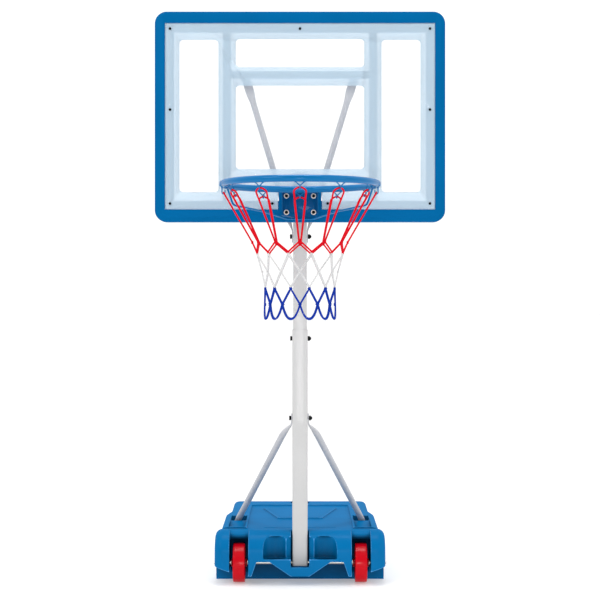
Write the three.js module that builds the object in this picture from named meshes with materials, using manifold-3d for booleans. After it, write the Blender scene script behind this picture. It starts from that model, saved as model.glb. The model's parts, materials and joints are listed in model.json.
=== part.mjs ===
// Poolside basketball hoop: a water-filled base on two wheels, a telescopic mast, a framed clear
// board, a tube rim with wire hooks and a three-colour cord net.
// Millimetres. +Z is up, +X is to the right as seen from the pool, +Y points away from the pool.
// Places are measured from the mast's axis at floor level, in front of the middle of the tank.
import * as THREE from "three";
import { mergeVertices } from "three/addons/utils/BufferGeometryUtils.js";
import Module from "manifold-3d";

const wasm = await Module();
wasm.setup();

// Fits and cuts
const seatGap = 0.3;
const turnGap = 0.12;
const boltGap = 0.4;
const overrun = 6;
const weldDistance = 1e-4;

// Facets on round shapes, and how square a fully pressed tube is
const roundFacets = 18;
const boltFacets = 6;
const poleHoleFacets = 6;
const wireFacets = 4;
const softFacets = 3;
const smallFacets = 10;
const hexSides = 6;
const headFacets = 8;
const sealFacets = 16;
const archFacets = 6;
const wideFacets = 26;
const pressFacets = 10;
const pressPowerShare = 0.7;

// Base tank
const drumHalfWidth = 266;
const deckInset = 15.5;
const tailInset = 15;
const deckHeight = 165;
const tankWall = 5;
const frontReach = 60;
const rearReach = 729;
const plinthSetback = 61;
const drumRear = 90;
const drumEdge = 16;
const deckEdge = 16;
const drumRise = 65;
const drumRun = 69;
const lipLow = 28;
const cheekLow = 41;
const cheekSlant = 16;
const stepStart = 70;
const stepEnd = 84;
const tailStart = 385;
const tailEnd = 475;
const tailCorner = 26;

// Front of the base: scallops, pole pocket, tunnels and wheel wells
const shelfHeight = 81;
const sideScallopRadius = 46;
const sideScallopShare = 0.286;
const sideScallopDepth = 24;
const midScallopRadius = 73.4;
const midScallopDepth = 27.4;
const pocketHalf = 35;
const pocketLip = 56;
const tunnelHeight = 73;
const postTopWide = 26;
const postLowWide = 10.6;
const tongueTopShare = 0.36;
const tongueLowShare = 0.11;
const wellRadius = 97.5;
const wellWidth = 59;
const cheekWide = 46;

// Deck of the base
const panelGap = 7.5;
const panelFront = 50;
const panelRear = 618;
const panelDepth = 4;
const panelCorner = 12;
const ribRise = 3;
const ribThick = 9;
const ribArmX = 122;
const ribArmY = 536;
const ribElbowX = 70;
const ribElbowY = 288;
const grooveY = 87;
const grooveHalf = 115;
const grooveWide = 7;
const grooveDeep = 3;
const stayPocketMargin = 22.5;
const stayPocketWide = 52;
const stayPocketFront = 243;
const stayPocketRear = 340;
const stayPocketDeep = 35;

// Fill neck and cap
const capRadius = 28.8;
const capY = 680;
const capWall = 2.6;
const capGrips = 18;
const capGripDeep = 1.4;
const neckOuter = 22;
const neckInner = 18;
const neckHeight = 10;
const fillWellRadius = 34;
const fillWellDeep = 9;
const sealThick = 1.5;

// Wheels and axle
const axleRadius = 5;
const axleHeight = 62.3;
const axleProud = 4;
const wheelRadius = 61;
const wheelWidth = 37.4;
const wheelEdge = 2.5;
const hubRadius = 12.5;
const hubLength = 49.4;
const webThick = 7;
const treadThick = 9;
const spokeCount = 5;
const spokeThick = 4;
const washerRadius = 7;
const washerThick = 1.5;
const washerTeeth = 6;
const washerToothDeep = 1.2;

// Mast
const lowerPoleSide = 48;
const upperPoleSide = 43;
const poleWall = 1.5;
const poleCorner = 5;
const lowerPoleLow = 50;
const lowerPoleTop = 792.5;
const upperPoleTop = 1285;
const heightBoltZ = 765.5;
const holePitch = 35;
const holesEachWay = 3;
const poleEndMargin = 20.5;
const stayBoltZ = 515.6;
const barBoltZ = 1085;

// Stays and board bars: tubes pressed flat at the ends
const tabThick = 3;
const stayRadius = 10;
const stayTabHalf = 14;
const stayTabRise = 14;
const stayTabDrop = 21;
const stayKneeOut = 48.4;
const stayKneeBack = 10;
const stayKneeZ = 474;
const stayDeckInset = 46.8;
const stayDeckY = 262;
const stayDeckZ = 162;
const stayEndInset = 16;
const stayEndY = 330;
const stayScrewY = 314;
const stayFlatY = 294;
const tabTipShares = [
  [0, 0.5],
  [0.06, 0.82],
  [0.2, 1],
  [1, 1],
];
const halfPressShare = 0.55;
const halfPressRunShare = 0.5;
const stayKneeRunShare = 0.04;
const stayFootRise = 11;
const barRadius = 9.5;
const barTabHalf = 13.5;
const barTopX = 171.4;
const barTabRise = 14;
const barTabDrop = 19;
const barFlatLength = 36;
const barTaperLength = 104;
const barClear = 3;
const barSlope = 0.3007;
const barBendShare = 0.1;
const barBendY = -3;

// Bolts, nuts and screws
const boltRadius = 4;
const boltAcross = 13;
const boltHead = 6.5;
const nutHeight = 6.5;
const domeHeight = 4.5;
const boltProud = 8;
const rimBoltRadius = 3;
const rimBoltAcross = 10;
const rimBoltHead = 4;
const rimNutHeight = 5;
const rimBoltProud = 1;
const rimWasherRadius = 8.2;
const rimWasherThick = 1.6;
const screwHeadRadius = 4.2;
const screwHeadHigh = 2.6;
const screwShankRadius = 2;
const screwLength = 13;
const screwCrownRadius = 3;

// Board
const boardWidth = 900;
const boardHeight = 652;
const boardLow = 1127.5;
const boardFront = 64;
const boardDepth = 30;
const boardCorner = 37;
const boardEdge = 4;
const borderSide = 31.4;
const borderTop = 35.5;
const borderLow = 39;
const ledgeWidth = 27;
const ledgeDepth = 14;
const ribWidth = 25;
const ribX = 227;
const crossRibHigh = 21;
const crossRibZ = 1585.8;
const sheetThick = 4;
const sheetSink = 0.5;
const sheetMargin = 0.6;
const bossHalf = 66;
const bossTop = 1232;
const notchGap = 1.6;
const frameWall = 4;
const pocketGap = 3.5;
const topPockets = 6;
const sidePockets = 4;
const screwInset = 15.9;
const topScrewInset = 17;
const lowScrewInset = 18.5;
const midScrewZ = 1476;
const midScrewX = 86;

// Head plate on the upper pole
const headHalf = 60;
const headLow = 1138;
const headTop = 1228;
const headThick = 4;
const headFlange = 3;
const headFlangeBack = 12;

// Rim
const rimRadius = 226;
const rimTube = 9.5;
const rimWall = 1.6;
const rimZ = 1222;
const rimReach = 388;
const rimFacets = 30;
const rimTubeFacets = 8;
const rimBoreFacets = 6;
const rimVentRadius = 2.5;
const ventTurn = 0.5;
const hookCount = 12;
const hookWire = 1.6;
const hookHalf = 12.5;
const hookNeckDrop = 20.5;
const hookCrookDrop = 24.5;
const hookCrookRadius = 4.5;
const hookTipRise = 7;
const hookRootShare = 0.75;
const hookFacets = 4;
const hookBendSteps = 3;
const plateHalf = 57;
const plateLow = 1134;
const plateTop = 1227;
const plateThick = 3;
const gussetRise = 78;
const gussetTip = 9;
const rimBoltX = 42;
const rimBoltHighZ = 1208;
const rimBoltLowZ = 1157.4;
const braceRadius = 3;
const braceRise = 2;
const bracePlateHalf = 40;
const braceBend = 12;
const braceFacets = 6;
const braceSteps = 24;
const braceTurn = 3.66;
const braceSeatDrop = 10;
const braceShares = [
  [0.913, 0.913, 0.404],
  [0.442, 0.488, 0.25],
  [0.116, 0.106, 0.079],
];

// Net: cord radii, and the radius of each ring of knots and its drop below the one above
const redCord = 2.2;
const whiteCord = 1.9;
const blueCord = 2.4;
const knotSwell = 1.7;
const knotReach = 3;
const twinCord = 3.2;
const loopHalf = 16.8;
const redKnotRadius = 138;
const redKnotDrop = 144.9;
const redJointRadius = 128.5;
const redJointDrop = 30.2;
const whiteCrossRadius = 108.5;
const whiteCrossDrop = 54.7;
const blueTopRadius = 104;
const blueTopDrop = 48.7;
const blueCrossRadius = 100.5;
const blueCrossDrop = 45.5;
const blueLowRadius = 102.5;
const blueLowDrop = 42.2;
const loopShares = [
  [0, 0],
  [0.01, 0.42],
  [0.045, 0.85],
  [0.09, 1],
  [0.25, 0.85],
  [0.55, 0.58],
  [1, 0.14],
];
const knotShift = 0.5;
const bottomSteps = 7;
const bowPower = 2.2;

// Places that follow from the sizes above
const mastY = -(plinthSetback + rearReach) / 2;
const upperPoleLow = heightBoltZ - holesEachWay * holePitch - poleEndMargin;
const boardBack = -boardFront + boardDepth;
const sheetFront = -boardFront + sheetSink;
const sheetBack = sheetFront + sheetThick;
const ledgeFront = sheetBack + seatGap;
const boardTop = boardLow + boardHeight;
const sheetHalf = boardWidth / 2 - borderSide;
const sheetLow = boardLow + borderLow;
const sheetTop = boardTop - borderTop;
const headFront = boardBack + seatGap;
const headBack = headFront + headThick;
const plateBack = -boardFront - seatGap;
const plateFront = plateBack - plateThick;
const deckHalfWidth = drumHalfWidth - deckInset;
const tailHalfWidth = deckHalfWidth - tailInset;
const stayPocketOut = deckHalfWidth - stayPocketMargin;
const stayPocketIn = stayPocketOut - stayPocketWide;
const panelHalf = stayPocketIn - panelGap;
const stayDeckX = deckHalfWidth - stayDeckInset;
const stayEndX = stayPocketOut - stayEndInset;
const wellOut = drumHalfWidth - cheekWide;
const wellIn = wellOut - wellWidth;
const wheelX = (wellIn + wellOut) / 2;
const postTopX = wellIn - postTopWide;
const postLowX = wellIn - postLowWide;
const tongueTopX = tongueTopShare * drumHalfWidth;
const tongueLowX = tongueLowShare * drumHalfWidth;
const sideScallopX = sideScallopShare * drumHalfWidth;
const fillFloor = deckHeight - fillWellDeep;
const tankCeiling = fillFloor - tankWall;
const neckTop = fillFloor + neckHeight;
const rimY = -rimReach;
const cordRingRadius = rimRadius - hookCrookRadius;
const cordRingZ = rimZ - hookCrookDrop;
const redKnotZ = cordRingZ - redKnotDrop;
const redJointZ = redKnotZ - redJointDrop;
const whiteCrossZ = redJointZ - whiteCrossDrop;
const blueTopZ = whiteCrossZ - blueTopDrop;
const blueCrossZ = blueTopZ - blueCrossDrop;
const blueLowZ = blueCrossZ - blueLowDrop;

const colours = {
  tankBlue: { color: 0x0a68a8, roughness: 0.45, metalness: 0 },
  frameBlue: { color: 0x006bab, roughness: 0.5, metalness: 0 },
  rimBlue: { color: 0x04679f, roughness: 0.3, metalness: 0.2 },
  bracketBlue: { color: 0x05588e, roughness: 0.35, metalness: 0.2 },
  poleGrey: { color: 0xd2d2d3, roughness: 0.4, metalness: 0.25 },
  zinc: { color: 0xb9bcc0, roughness: 0.3, metalness: 0.9 },
  blackSteel: { color: 0x1b1c1e, roughness: 0.45, metalness: 0.6 },
  blackPlastic: { color: 0x15171a, roughness: 0.55, metalness: 0 },
  sealRubber: { color: 0x222325, roughness: 0.85, metalness: 0 },
  wheelRed: { color: 0xd4061f, roughness: 0.35, metalness: 0 },
  clearSheet: { color: 0xcdd9e9, roughness: 0.3, metalness: 0 },
  redCordage: { color: 0xe3061c, roughness: 0.8, metalness: 0 },
  whiteCordage: { color: 0xe6e6e6, roughness: 0.8, metalness: 0 },
  blueCordage: { color: 0x0a2f9c, roughness: 0.8, metalness: 0 },
};

const hoop = new THREE.Group();
hoop.position.y = mastY;

function finishOf(name) {
  return new THREE.MeshStandardMaterial(colours[name]);
}

function addMesh(name, geometry, colour) {
  const mesh = new THREE.Mesh(geometry, finishOf(colour));
  mesh.name = name;
  hoop.add(mesh);
  return mesh;
}

// A right-hand piece and its mirror image on the left.
function addPair(name, geometry, colour) {
  addMesh(`${name}_right`, geometry, colour);
  addMesh(`${name}_left`, geometry, colour).scale.x = -1;
}

// A closed geometry as a solid that can be joined and cut.
function asSolid(geometry) {
  const bare = geometry.clone();
  bare.deleteAttribute("normal");
  bare.deleteAttribute("uv");
  const merged = mergeVertices(bare, weldDistance);
  return new wasm.Manifold(
    new wasm.Mesh({
      numProp: 3,
      vertProperties: merged.attributes.position.array,
      triVerts: new Uint32Array(merged.index.array),
    }),
  );
}

function asGeometry(solid) {
  const mesh = solid.getMesh();
  const places = new Float32Array(mesh.numVert * 3);
  for (let vertex = 0; vertex < mesh.numVert; vertex += 1) {
    const start = vertex * mesh.numProp;
    places.set(mesh.vertProperties.subarray(start, start + 3), vertex * 3);
  }
  const geometry = new THREE.BufferGeometry();
  geometry.setAttribute("position", new THREE.BufferAttribute(places, 3));
  geometry.setIndex(new THREE.BufferAttribute(new Uint32Array(mesh.triVerts), 1));
  geometry.computeVertexNormals();
  return geometry;
}

function join(geometries) {
  return geometries.map(asSolid).reduce((whole, piece) => whole.add(piece));
}

function cut(solid, geometries) {
  return geometries.map(asSolid).reduce((whole, piece) => whole.subtract(piece), solid);
}

// Outline with straight sides, from points [u, v].
function outline(points) {
  return new THREE.Shape(points.map(([u, v]) => new THREE.Vector2(u, v)));
}

// Rectangle with rounded corners, centred across u.
function roundedBox(halfWide, low, high, corner) {
  const shape = new THREE.Shape();
  const turn = Math.PI / 2;
  shape.absarc(halfWide - corner, low + corner, corner, -turn, 0);
  shape.absarc(halfWide - corner, high - corner, corner, 0, turn);
  shape.absarc(corner - halfWide, high - corner, corner, turn, 2 * turn);
  shape.absarc(corner - halfWide, low + corner, corner, 2 * turn, 3 * turn);
  return shape;
}

// Extrusion between two stations along an axis, with its end edges rounded by edge.
function extrude(shape, from, to, basis, { edge = 0, edgeSteps = 2, curve = softFacets } = {}) {
  const geometry = new THREE.ExtrudeGeometry(shape, {
    depth: to - from - 2 * edge,
    curveSegments: curve,
    bevelEnabled: edge > 0,
    bevelThickness: edge,
    bevelSize: edge,
    bevelOffset: -edge,
    bevelSegments: edgeSteps,
  });
  geometry.translate(0, 0, edge);
  return geometry.applyMatrix4(basis);
}

const axisX = new THREE.Vector3(1, 0, 0);
const axisY = new THREE.Vector3(0, 1, 0);
const axisZ = new THREE.Vector3(0, 0, 1);

// Outline in Y and Z, drawn out along X.
function alongX(shape, from, to, style) {
  const basis = new THREE.Matrix4().makeBasis(axisY, axisZ, axisX);
  return extrude(shape, from, to, basis, style).translate(from, 0, 0);
}

// Outline in X and Z, drawn out along Y.
function alongY(shape, from, to, style) {
  const basis = new THREE.Matrix4().makeBasis(axisX, axisZ, axisY.clone().negate());
  return extrude(shape, from, to, basis, style).translate(0, to, 0);
}

// Outline in X and Y, drawn out along Z.
function alongZ(shape, from, to, style) {
  return extrude(shape, from, to, new THREE.Matrix4(), style).translate(0, 0, from);
}

function block(x0, x1, y0, y1, z0, z1) {
  const box = new THREE.BoxGeometry(x1 - x0, y1 - y0, z1 - z0);
  return box.translate((x0 + x1) / 2, (y0 + y1) / 2, (z0 + z1) / 2);
}

// The same block on both sides of the middle.
function blockPair(x0, x1, y0, y1, z0, z1) {
  return [block(x0, x1, y0, y1, z0, z1), block(-x1, -x0, y0, y1, z0, z1)];
}

// Turns a piece made along +Z to point in a direction from a place.
function aimed(geometry, at, direction) {
  const turn = new THREE.Quaternion().setFromUnitVectors(axisZ, direction);
  return geometry.clone().applyQuaternion(turn).translate(at.x, at.y, at.z);
}

// Round bar along +Z from low to high.
function post(radius, low, high, facets = roundFacets) {
  const bar = new THREE.CylinderGeometry(radius, radius, high - low, facets);
  return bar.rotateX(Math.PI / 2).translate(0, 0, (low + high) / 2);
}

// Round bar between two points.
function rod(from, to, radius, facets = boltFacets) {
  const line = to.clone().sub(from);
  return aimed(post(radius, 0, line.length(), facets), from, line.normalize());
}

function rodAlongX(x0, x1, y, z, radius, facets = boltFacets) {
  return rod(new THREE.Vector3(x0, y, z), new THREE.Vector3(x1, y, z), radius, facets);
}

function rodAlongY(x, y0, y1, z, radius, facets = boltFacets) {
  return rod(new THREE.Vector3(x, y0, z), new THREE.Vector3(x, y1, z), radius, facets);
}

// Radius of a faceted hole that clears a round bar by the gap all round.
function holeRadius(shaftRadius, gap, facets = boltFacets) {
  return (shaftRadius + gap) / Math.cos(Math.PI / facets);
}

// Turned piece about +Z from a profile of [radius, height], listed upwards on the outside.
function turned(profile, facets = roundFacets) {
  const points = profile.map(([radius, height]) => new THREE.Vector2(radius, height));
  return new THREE.LatheGeometry(points, facets).rotateX(Math.PI / 2);
}

function tube(path, radius, steps, facets = wireFacets) {
  const section = new THREE.Shape();
  for (let corner = 0; corner < facets; corner += 1) {
    const angle = (corner * 2 * Math.PI) / facets;
    const point = [radius * Math.cos(angle), radius * Math.sin(angle)];
    if (corner === 0) section.moveTo(...point);
    else section.lineTo(...point);
  }
  return new THREE.ExtrudeGeometry(section, { steps, extrudePath: path, bevelEnabled: false });
}

// Path of straight runs with rounded bends.
function bentPath(points, bend) {
  const path = new THREE.CurvePath();
  let start = points[0];
  for (let index = 1; index < points.length - 1; index += 1) {
    const corner = points[index];
    const into = corner.clone().sub(points[index - 1]).setLength(bend);
    const out = points[index + 1].clone().sub(corner).setLength(bend);
    const before = corner.clone().sub(into);
    const after = corner.clone().add(out);
    path.add(new THREE.LineCurve3(start, before));
    path.add(new THREE.QuadraticBezierCurve3(before, corner, after));
    start = after;
  }
  path.add(new THREE.LineCurve3(start, points[points.length - 1]));
  return path;
}

// Solid through a row of section loops, with two flat ends or as an endless ring.
function loft(loops, endless = false) {
  const sides = loops[0].length;
  const faces = [];
  const rows = endless ? loops.length : loops.length - 1;
  for (let row = 0; row < rows; row += 1) {
    const ahead = ((row + 1) % loops.length) * sides;
    for (let side = 0; side < sides; side += 1) {
      const turn = (side + 1) % sides;
      const near = row * sides + side;
      const next = row * sides + turn;
      faces.push(near, next, ahead + turn, near, ahead + turn, ahead + side);
    }
  }
  const last = (loops.length - 1) * sides;
  for (let side = 1; side < sides - 1 && !endless; side += 1) {
    faces.push(0, side + 1, side, last, last + side, last + side + 1);
  }
  const geometry = new THREE.BufferGeometry().setFromPoints(loops.flat());
  geometry.setIndex(faces);
  geometry.computeVertexNormals();
  return geometry;
}

// Section of a tube that is pressed flat by a share: 0 is round and 1 is a flat tab.
function pressedSection({ at, along, across, sizes, press = 1 }, facets) {
  const [halfU, halfV] = sizes;
  const power = 1 - pressPowerShare * press;
  const unitU = across.clone().addScaledVector(along, -across.dot(along)).normalize();
  const unitV = along.clone().cross(unitU).normalize();
  const bulge = (value) => Math.sign(value) * Math.abs(value) ** power;
  const full = bulge(Math.cos(Math.PI / facets));
  const loop = [];
  for (let side = 0; side < facets; side += 1) {
    const angle = ((2 * side + 1) * Math.PI) / facets;
    const point = at.clone();
    point.addScaledVector(unitU, (halfU * bulge(Math.cos(angle))) / full);
    point.addScaledVector(unitV, (halfV * bulge(Math.sin(angle))) / full);
    loop.push(point);
  }
  return loop;
}

const place = (x, y, z) => new THREE.Vector3(x, y, z);

// A tube with pressed ends through stations of { at, across, sizes, press, along }.
function pressedTube(stations, facets = pressFacets) {
  const last = stations.length - 1;
  return loft(
    stations.map((station, index) => {
      const before = stations[Math.max(index - 1, 0)].at;
      const after = stations[Math.min(index + 1, last)].at;
      const along = station.along ?? after.clone().sub(before).normalize();
      return pressedSection({ ...station, along }, facets);
    }),
  );
}

// Half sizes of a tube on its way from round to a flat tab.
function pressSizes(radius, tabHalf, press) {
  const flat = THREE.MathUtils.lerp(radius, tabHalf, press);
  const thin = THREE.MathUtils.lerp(radius, tabThick / 2, press);
  return [flat, thin];
}

// Stations of a flat tab with a rounded end, from its tip inwards.
function tabStations(tip, inwards, length, across, sizes) {
  return tabTipShares.map(([run, width]) => ({
    at: tip.clone().addScaledVector(inwards, run * length),
    across,
    along: inwards,
    sizes: sizes.map((size) => (size > tabThick / 2 ? size * width : size)),
  }));
}

// Outline of the tank in plan, drawn in by an inset.
function tankPlan(inset) {
  const deck = deckHalfWidth - inset;
  const tail = tailHalfWidth - inset;
  const front = plinthSetback + inset;
  const rear = rearReach - inset;
  const corner = tailCorner - inset;
  const shape = new THREE.Shape();
  shape.moveTo(-deck, front);
  shape.lineTo(deck, front);
  shape.lineTo(deck, tailStart);
  shape.lineTo(tail, tailEnd);
  shape.absarc(tail - corner, rear - corner, corner, 0, Math.PI / 2);
  shape.absarc(corner - tail, rear - corner, corner, Math.PI / 2, Math.PI);
  shape.lineTo(-tail, tailEnd);
  shape.lineTo(-deck, tailStart);
  return shape;
}

// Wider step of the plinth under the drum.
function plinthStep() {
  const step = outline([
    [-drumHalfWidth, plinthSetback],
    [drumHalfWidth, plinthSetback],
    [drumHalfWidth, stepStart],
    [deckHalfWidth, stepEnd],
    [-deckHalfWidth, stepEnd],
    [-drumHalfWidth, stepStart],
  ]);
  return alongZ(step, 0, deckHeight - drumEdge);
}

// Height of the drum's skin at a distance in front of the mast's axis.
function drumSkin(reach) {
  const out = (reach + drumRun - frontReach) / drumRun;
  return deckHeight - drumRise + drumRise * Math.sqrt(1 - out * out);
}

// The rounded front of the base, before its wells and scallops are cut.
function drumBody() {
  const profile = new THREE.Shape();
  const crown = drumRun - frontReach;
  profile.moveTo(-frontReach, lipLow);
  profile.lineTo(drumRear, lipLow);
  profile.lineTo(drumRear, deckHeight);
  profile.lineTo(crown, deckHeight);
  profile.absellipse(crown, deckHeight - drumRise, drumRun, drumRise, Math.PI / 2, Math.PI);
  const style = { edge: drumEdge, edgeSteps: softFacets, curve: archFacets };
  const drum = asSolid(alongX(profile, -drumHalfWidth, drumHalfWidth, style));
  const underCheek = [
    [wellOut, cheekLow],
    [drumHalfWidth, cheekLow + cheekSlant],
    [drumHalfWidth + overrun, cheekLow + cheekSlant],
    [drumHalfWidth + overrun, lipLow - overrun],
    [wellOut, lipLow - overrun],
  ];
  const tunnel = [
    [postTopX, tunnelHeight],
    [tongueTopX, tunnelHeight],
    [tongueLowX, lipLow],
    [tongueLowX, lipLow - overrun],
    [postLowX, lipLow - overrun],
    [postLowX, lipLow],
  ];
  const cutters = [underCheek, tunnel].flatMap((points) => {
    const twin = points.map(([x, z]) => [-x, z]);
    return [points, twin].map((side) =>
      alongY(outline(side), -frontReach - overrun, plinthSetback),
    );
  });
  return cut(drum, cutters);
}

// Scallops behind the mast's foot, from the shelf upwards.
function scallops() {
  const low = shelfHeight;
  const high = deckHeight + overrun;
  const sideY = sideScallopDepth - frontReach - sideScallopRadius;
  const midY = midScallopDepth - frontReach - midScallopRadius;
  return [
    post(sideScallopRadius, low, high, wideFacets).translate(sideScallopX, sideY, 0),
    post(sideScallopRadius, low, high, wideFacets).translate(-sideScallopX, sideY, 0),
    post(midScallopRadius, low, high, wideFacets).translate(0, midY, 0),
  ];
}

// Slot and pocket that the mast's foot stands in.
function footCuts() {
  const half = lowerPoleSide / 2 + seatGap;
  const front = -frontReach - overrun;
  const high = deckHeight + overrun;
  return [
    block(-half, half, front, half, shelfHeight, high),
    block(-half, half, -half, half, lowerPoleLow - seatGap, shelfHeight + overrun),
    block(-pocketHalf, pocketHalf, front, half, pocketLip, shelfHeight),
  ];
}

function wellCuts(grow = 0) {
  const radius = wellRadius + grow;
  const ends = [wellIn - grow, wellOut + grow];
  return [ends, ends.map((x) => -x).reverse()].flatMap(([from, to]) => [
    rodAlongX(from, to, 0, axleHeight, radius, wideFacets),
    block(from, to, -frontReach - overrun, 0, -overrun, axleHeight + radius),
  ]);
}

function stayPockets(grow = 0) {
  const floor = deckHeight - stayPocketDeep - grow;
  const front = stayPocketFront - grow;
  const rear = stayPocketRear + grow;
  return blockPair(stayPocketIn - grow, stayPocketOut + grow, front, rear, floor, deckHeight + overrun);
}

// Bosses or holes under the stays' screws.
function stayScrewPosts(radius, low, high) {
  return [stayEndX, -stayEndX].map((x) => post(radius, low, high, boltFacets).translate(x, stayScrewY, 0));
}

// Straight raised strip in plan between two points.
function strip(from, to, low, high) {
  const line = to.clone().sub(from);
  const bar = block(0, line.length(), -ribThick / 2, ribThick / 2, low, high);
  return bar.rotateZ(Math.atan2(line.y, line.x)).translate(from.x, from.y, 0);
}

// The sunk panel of the deck, less the ribs that stand in it.
function deckPanelCut() {
  const floor = deckHeight - panelDepth;
  const plan = roundedBox(panelHalf, panelFront, panelRear, panelCorner);
  const sunk = asSolid(alongZ(plan, floor, deckHeight + overrun));
  const elbow = place(ribElbowX, ribElbowY, 0);
  const arm = place(ribArmX, ribArmY, 0);
  const mirror = place(-1, 1, 1);
  const high = floor + ribRise;
  return cut(sunk, [
    strip(elbow, arm, floor - overrun, high),
    strip(elbow.clone().multiply(mirror), arm.clone().multiply(mirror), floor - overrun, high),
    strip(elbow.clone().multiply(mirror), elbow, floor - overrun, high),
  ]);
}

// Room for water inside the tank.
function tankHollow() {
  const guards = [...wellCuts(tankWall), ...stayPockets(tankWall)];
  const bossLow = deckHeight - stayPocketDeep - tankWall - screwLength;
  guards.push(...stayScrewPosts(boltAcross, bossLow, deckHeight));
  const front = frontReach - sideScallopDepth - tankWall;
  const voidTop = Math.min(tankCeiling, drumSkin(front) - tankWall);
  const voidLow = tunnelHeight + tankWall;
  const voidRear = drumRear;
  const inner = [pocketHalf + tankWall, wellIn - tankWall];
  const outer = [wellOut + tankWall, drumHalfWidth - drumEdge];
  const drumVoids = [inner, outer].flatMap(([from, to]) =>
    blockPair(from, to, -front, voidRear, voidLow, voidTop),
  );
  const main = alongZ(tankPlan(tankWall), tankWall, tankCeiling);
  return cut(join([main, ...drumVoids]), guards);
}

function baseTank() {
  const slabStyle = { edge: deckEdge };
  const slab = asSolid(alongZ(tankPlan(0), -2 * deckEdge, deckHeight, slabStyle));
  const width = drumHalfWidth + overrun;
  const under = block(-width, width, -frontReach, rearReach + overrun, -2 * deckEdge - overrun, 0);
  let tank = cut(slab, [under]).add(drumBody()).add(asSolid(plinthStep()));
  const axleHole = holeRadius(axleRadius, seatGap);
  const fillWell = post(fillWellRadius, fillFloor, deckHeight + overrun).translate(0, capY, 0);
  const groove = block(
    -grooveHalf,
    grooveHalf,
    grooveY - grooveWide / 2,
    grooveY + grooveWide / 2,
    deckHeight - panelDepth - grooveDeep,
    deckHeight,
  );
  tank = cut(tank, [
    ...scallops(),
    ...footCuts(),
    ...wellCuts(),
    ...stayPockets(),
    rodAlongX(-width, width, 0, axleHeight, axleHole),
    fillWell,
    groove,
  ]);
  tank = tank.subtract(deckPanelCut());
  const neck = post(neckOuter, fillFloor - tankWall / 2, neckTop).translate(0, capY, 0);
  tank = tank.add(asSolid(neck)).subtract(tankHollow());
  const bore = post(neckInner, tankCeiling - overrun, neckTop + overrun).translate(0, capY, 0);
  const pocketFloor = deckHeight - stayPocketDeep;
  const screwHole = holeRadius(screwShankRadius, seatGap);
  const screwHoles = stayScrewPosts(screwHole, pocketFloor - screwLength, pocketFloor + overrun);
  return asGeometry(cut(tank, [bore, ...screwHoles]));
}

const capUnder = neckTop + 2 * seatGap + sealThick;

function fillCap() {
  const grips = new THREE.Shape();
  for (let corner = 0; corner < 2 * capGrips; corner += 1) {
    const angle = (corner * Math.PI) / capGrips;
    const radius = capRadius - (corner % 2) * capGripDeep;
    const point = [radius * Math.cos(angle), radius * Math.sin(angle)];
    if (corner === 0) grips.moveTo(...point);
    else grips.lineTo(...point);
  }
  const low = fillFloor + seatGap;
  const body = asSolid(alongZ(grips, low, capUnder + capWall));
  const inside = post(holeRadius(neckOuter, boltGap, roundFacets), low - overrun, capUnder);
  return asGeometry(cut(body, [inside])).translate(0, capY, 0);
}

// Flat ring about +Z.
function ring(inner, outer, low, high, facets = roundFacets) {
  const profile = [
    [inner, low],
    [outer, low],
    [outer, high],
    [inner, high],
    [inner, low],
  ];
  return turned(profile, facets);
}

function wheel() {
  const bore = holeRadius(axleRadius, turnGap, roundFacets);
  const inTread = wheelRadius - treadThick;
  const half = wheelWidth / 2;
  const side = [
    [bore, hubLength / 2],
    [hubRadius, hubLength / 2],
    [hubRadius, webThick / 2],
    [inTread, webThick / 2],
    [inTread, half],
    [wheelRadius - wheelEdge / 2, half],
    [wheelRadius, half - wheelEdge],
  ];
  const low = side.map(([radius, height]) => [radius, -height]);
  const body = turned([...low, ...side.slice().reverse(), low[0]]);
  const spokes = [];
  for (let spoke = 0; spoke < spokeCount; spoke += 1) {
    const high = half - wheelEdge;
    const run = [hubRadius - wheelEdge, inTread + wheelEdge];
    const web = block(...run, -spokeThick / 2, spokeThick / 2, -high, high);
    spokes.push(web.rotateZ((spoke * 2 * Math.PI) / spokeCount));
  }
  const solid = join([body, ...spokes]);
  return aimed(asGeometry(solid), place(wheelX, 0, axleHeight), axisX);
}

// Push-on washer whose inner teeth grip the axle.
function starWasher(x) {
  const shape = new THREE.Shape();
  shape.absarc(0, 0, washerRadius, 0, 2 * Math.PI);
  const teeth = new THREE.Path();
  const grip = axleRadius + seatGap;
  for (let corner = 0; corner < 2 * washerTeeth; corner += 1) {
    const angle = (-corner * Math.PI) / washerTeeth;
    const radius = grip / Math.cos(Math.PI / (2 * washerTeeth)) + (corner % 2) * washerToothDeep;
    const point = [radius * Math.cos(angle), radius * Math.sin(angle)];
    if (corner === 0) teeth.moveTo(...point);
    else teeth.lineTo(...point);
  }
  shape.holes.push(teeth);
  const flat = alongX(shape, 0, washerThick, { curve: archFacets });
  return flat.translate(x, 0, axleHeight);
}

function squareTube(side, low, high) {
  const shape = roundedBox(side / 2, -side / 2, side / 2, poleCorner);
  const inner = side / 2 - poleWall;
  shape.holes.push(roundedBox(inner, -inner, inner, poleCorner - poleWall));
  return alongZ(shape, low, high);
}

// Bolt holes across the mast at the given heights.
function crossHoles(heights, shaft) {
  const reach = lowerPoleSide;
  const radius = holeRadius(shaft, boltGap, poleHoleFacets);
  return heights.map((z) => rodAlongX(-reach, reach, 0, z, radius, poleHoleFacets));
}

function lowerPole() {
  const body = asSolid(squareTube(lowerPoleSide, lowerPoleLow, lowerPoleTop));
  const bolts = crossHoles([heightBoltZ, stayBoltZ], boltRadius);
  const axle = crossHoles([axleHeight], axleRadius);
  return asGeometry(cut(body, [...bolts, ...axle]));
}

function upperPole() {
  const body = asSolid(squareTube(upperPoleSide, upperPoleLow, upperPoleTop));
  const heights = [barBoltZ];
  for (let step = -holesEachWay; step <= holesEachWay; step += 1) {
    heights.push(heightBoltZ + step * holePitch);
  }
  return asGeometry(cut(body, crossHoles(heights, boltRadius)));
}

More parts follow.
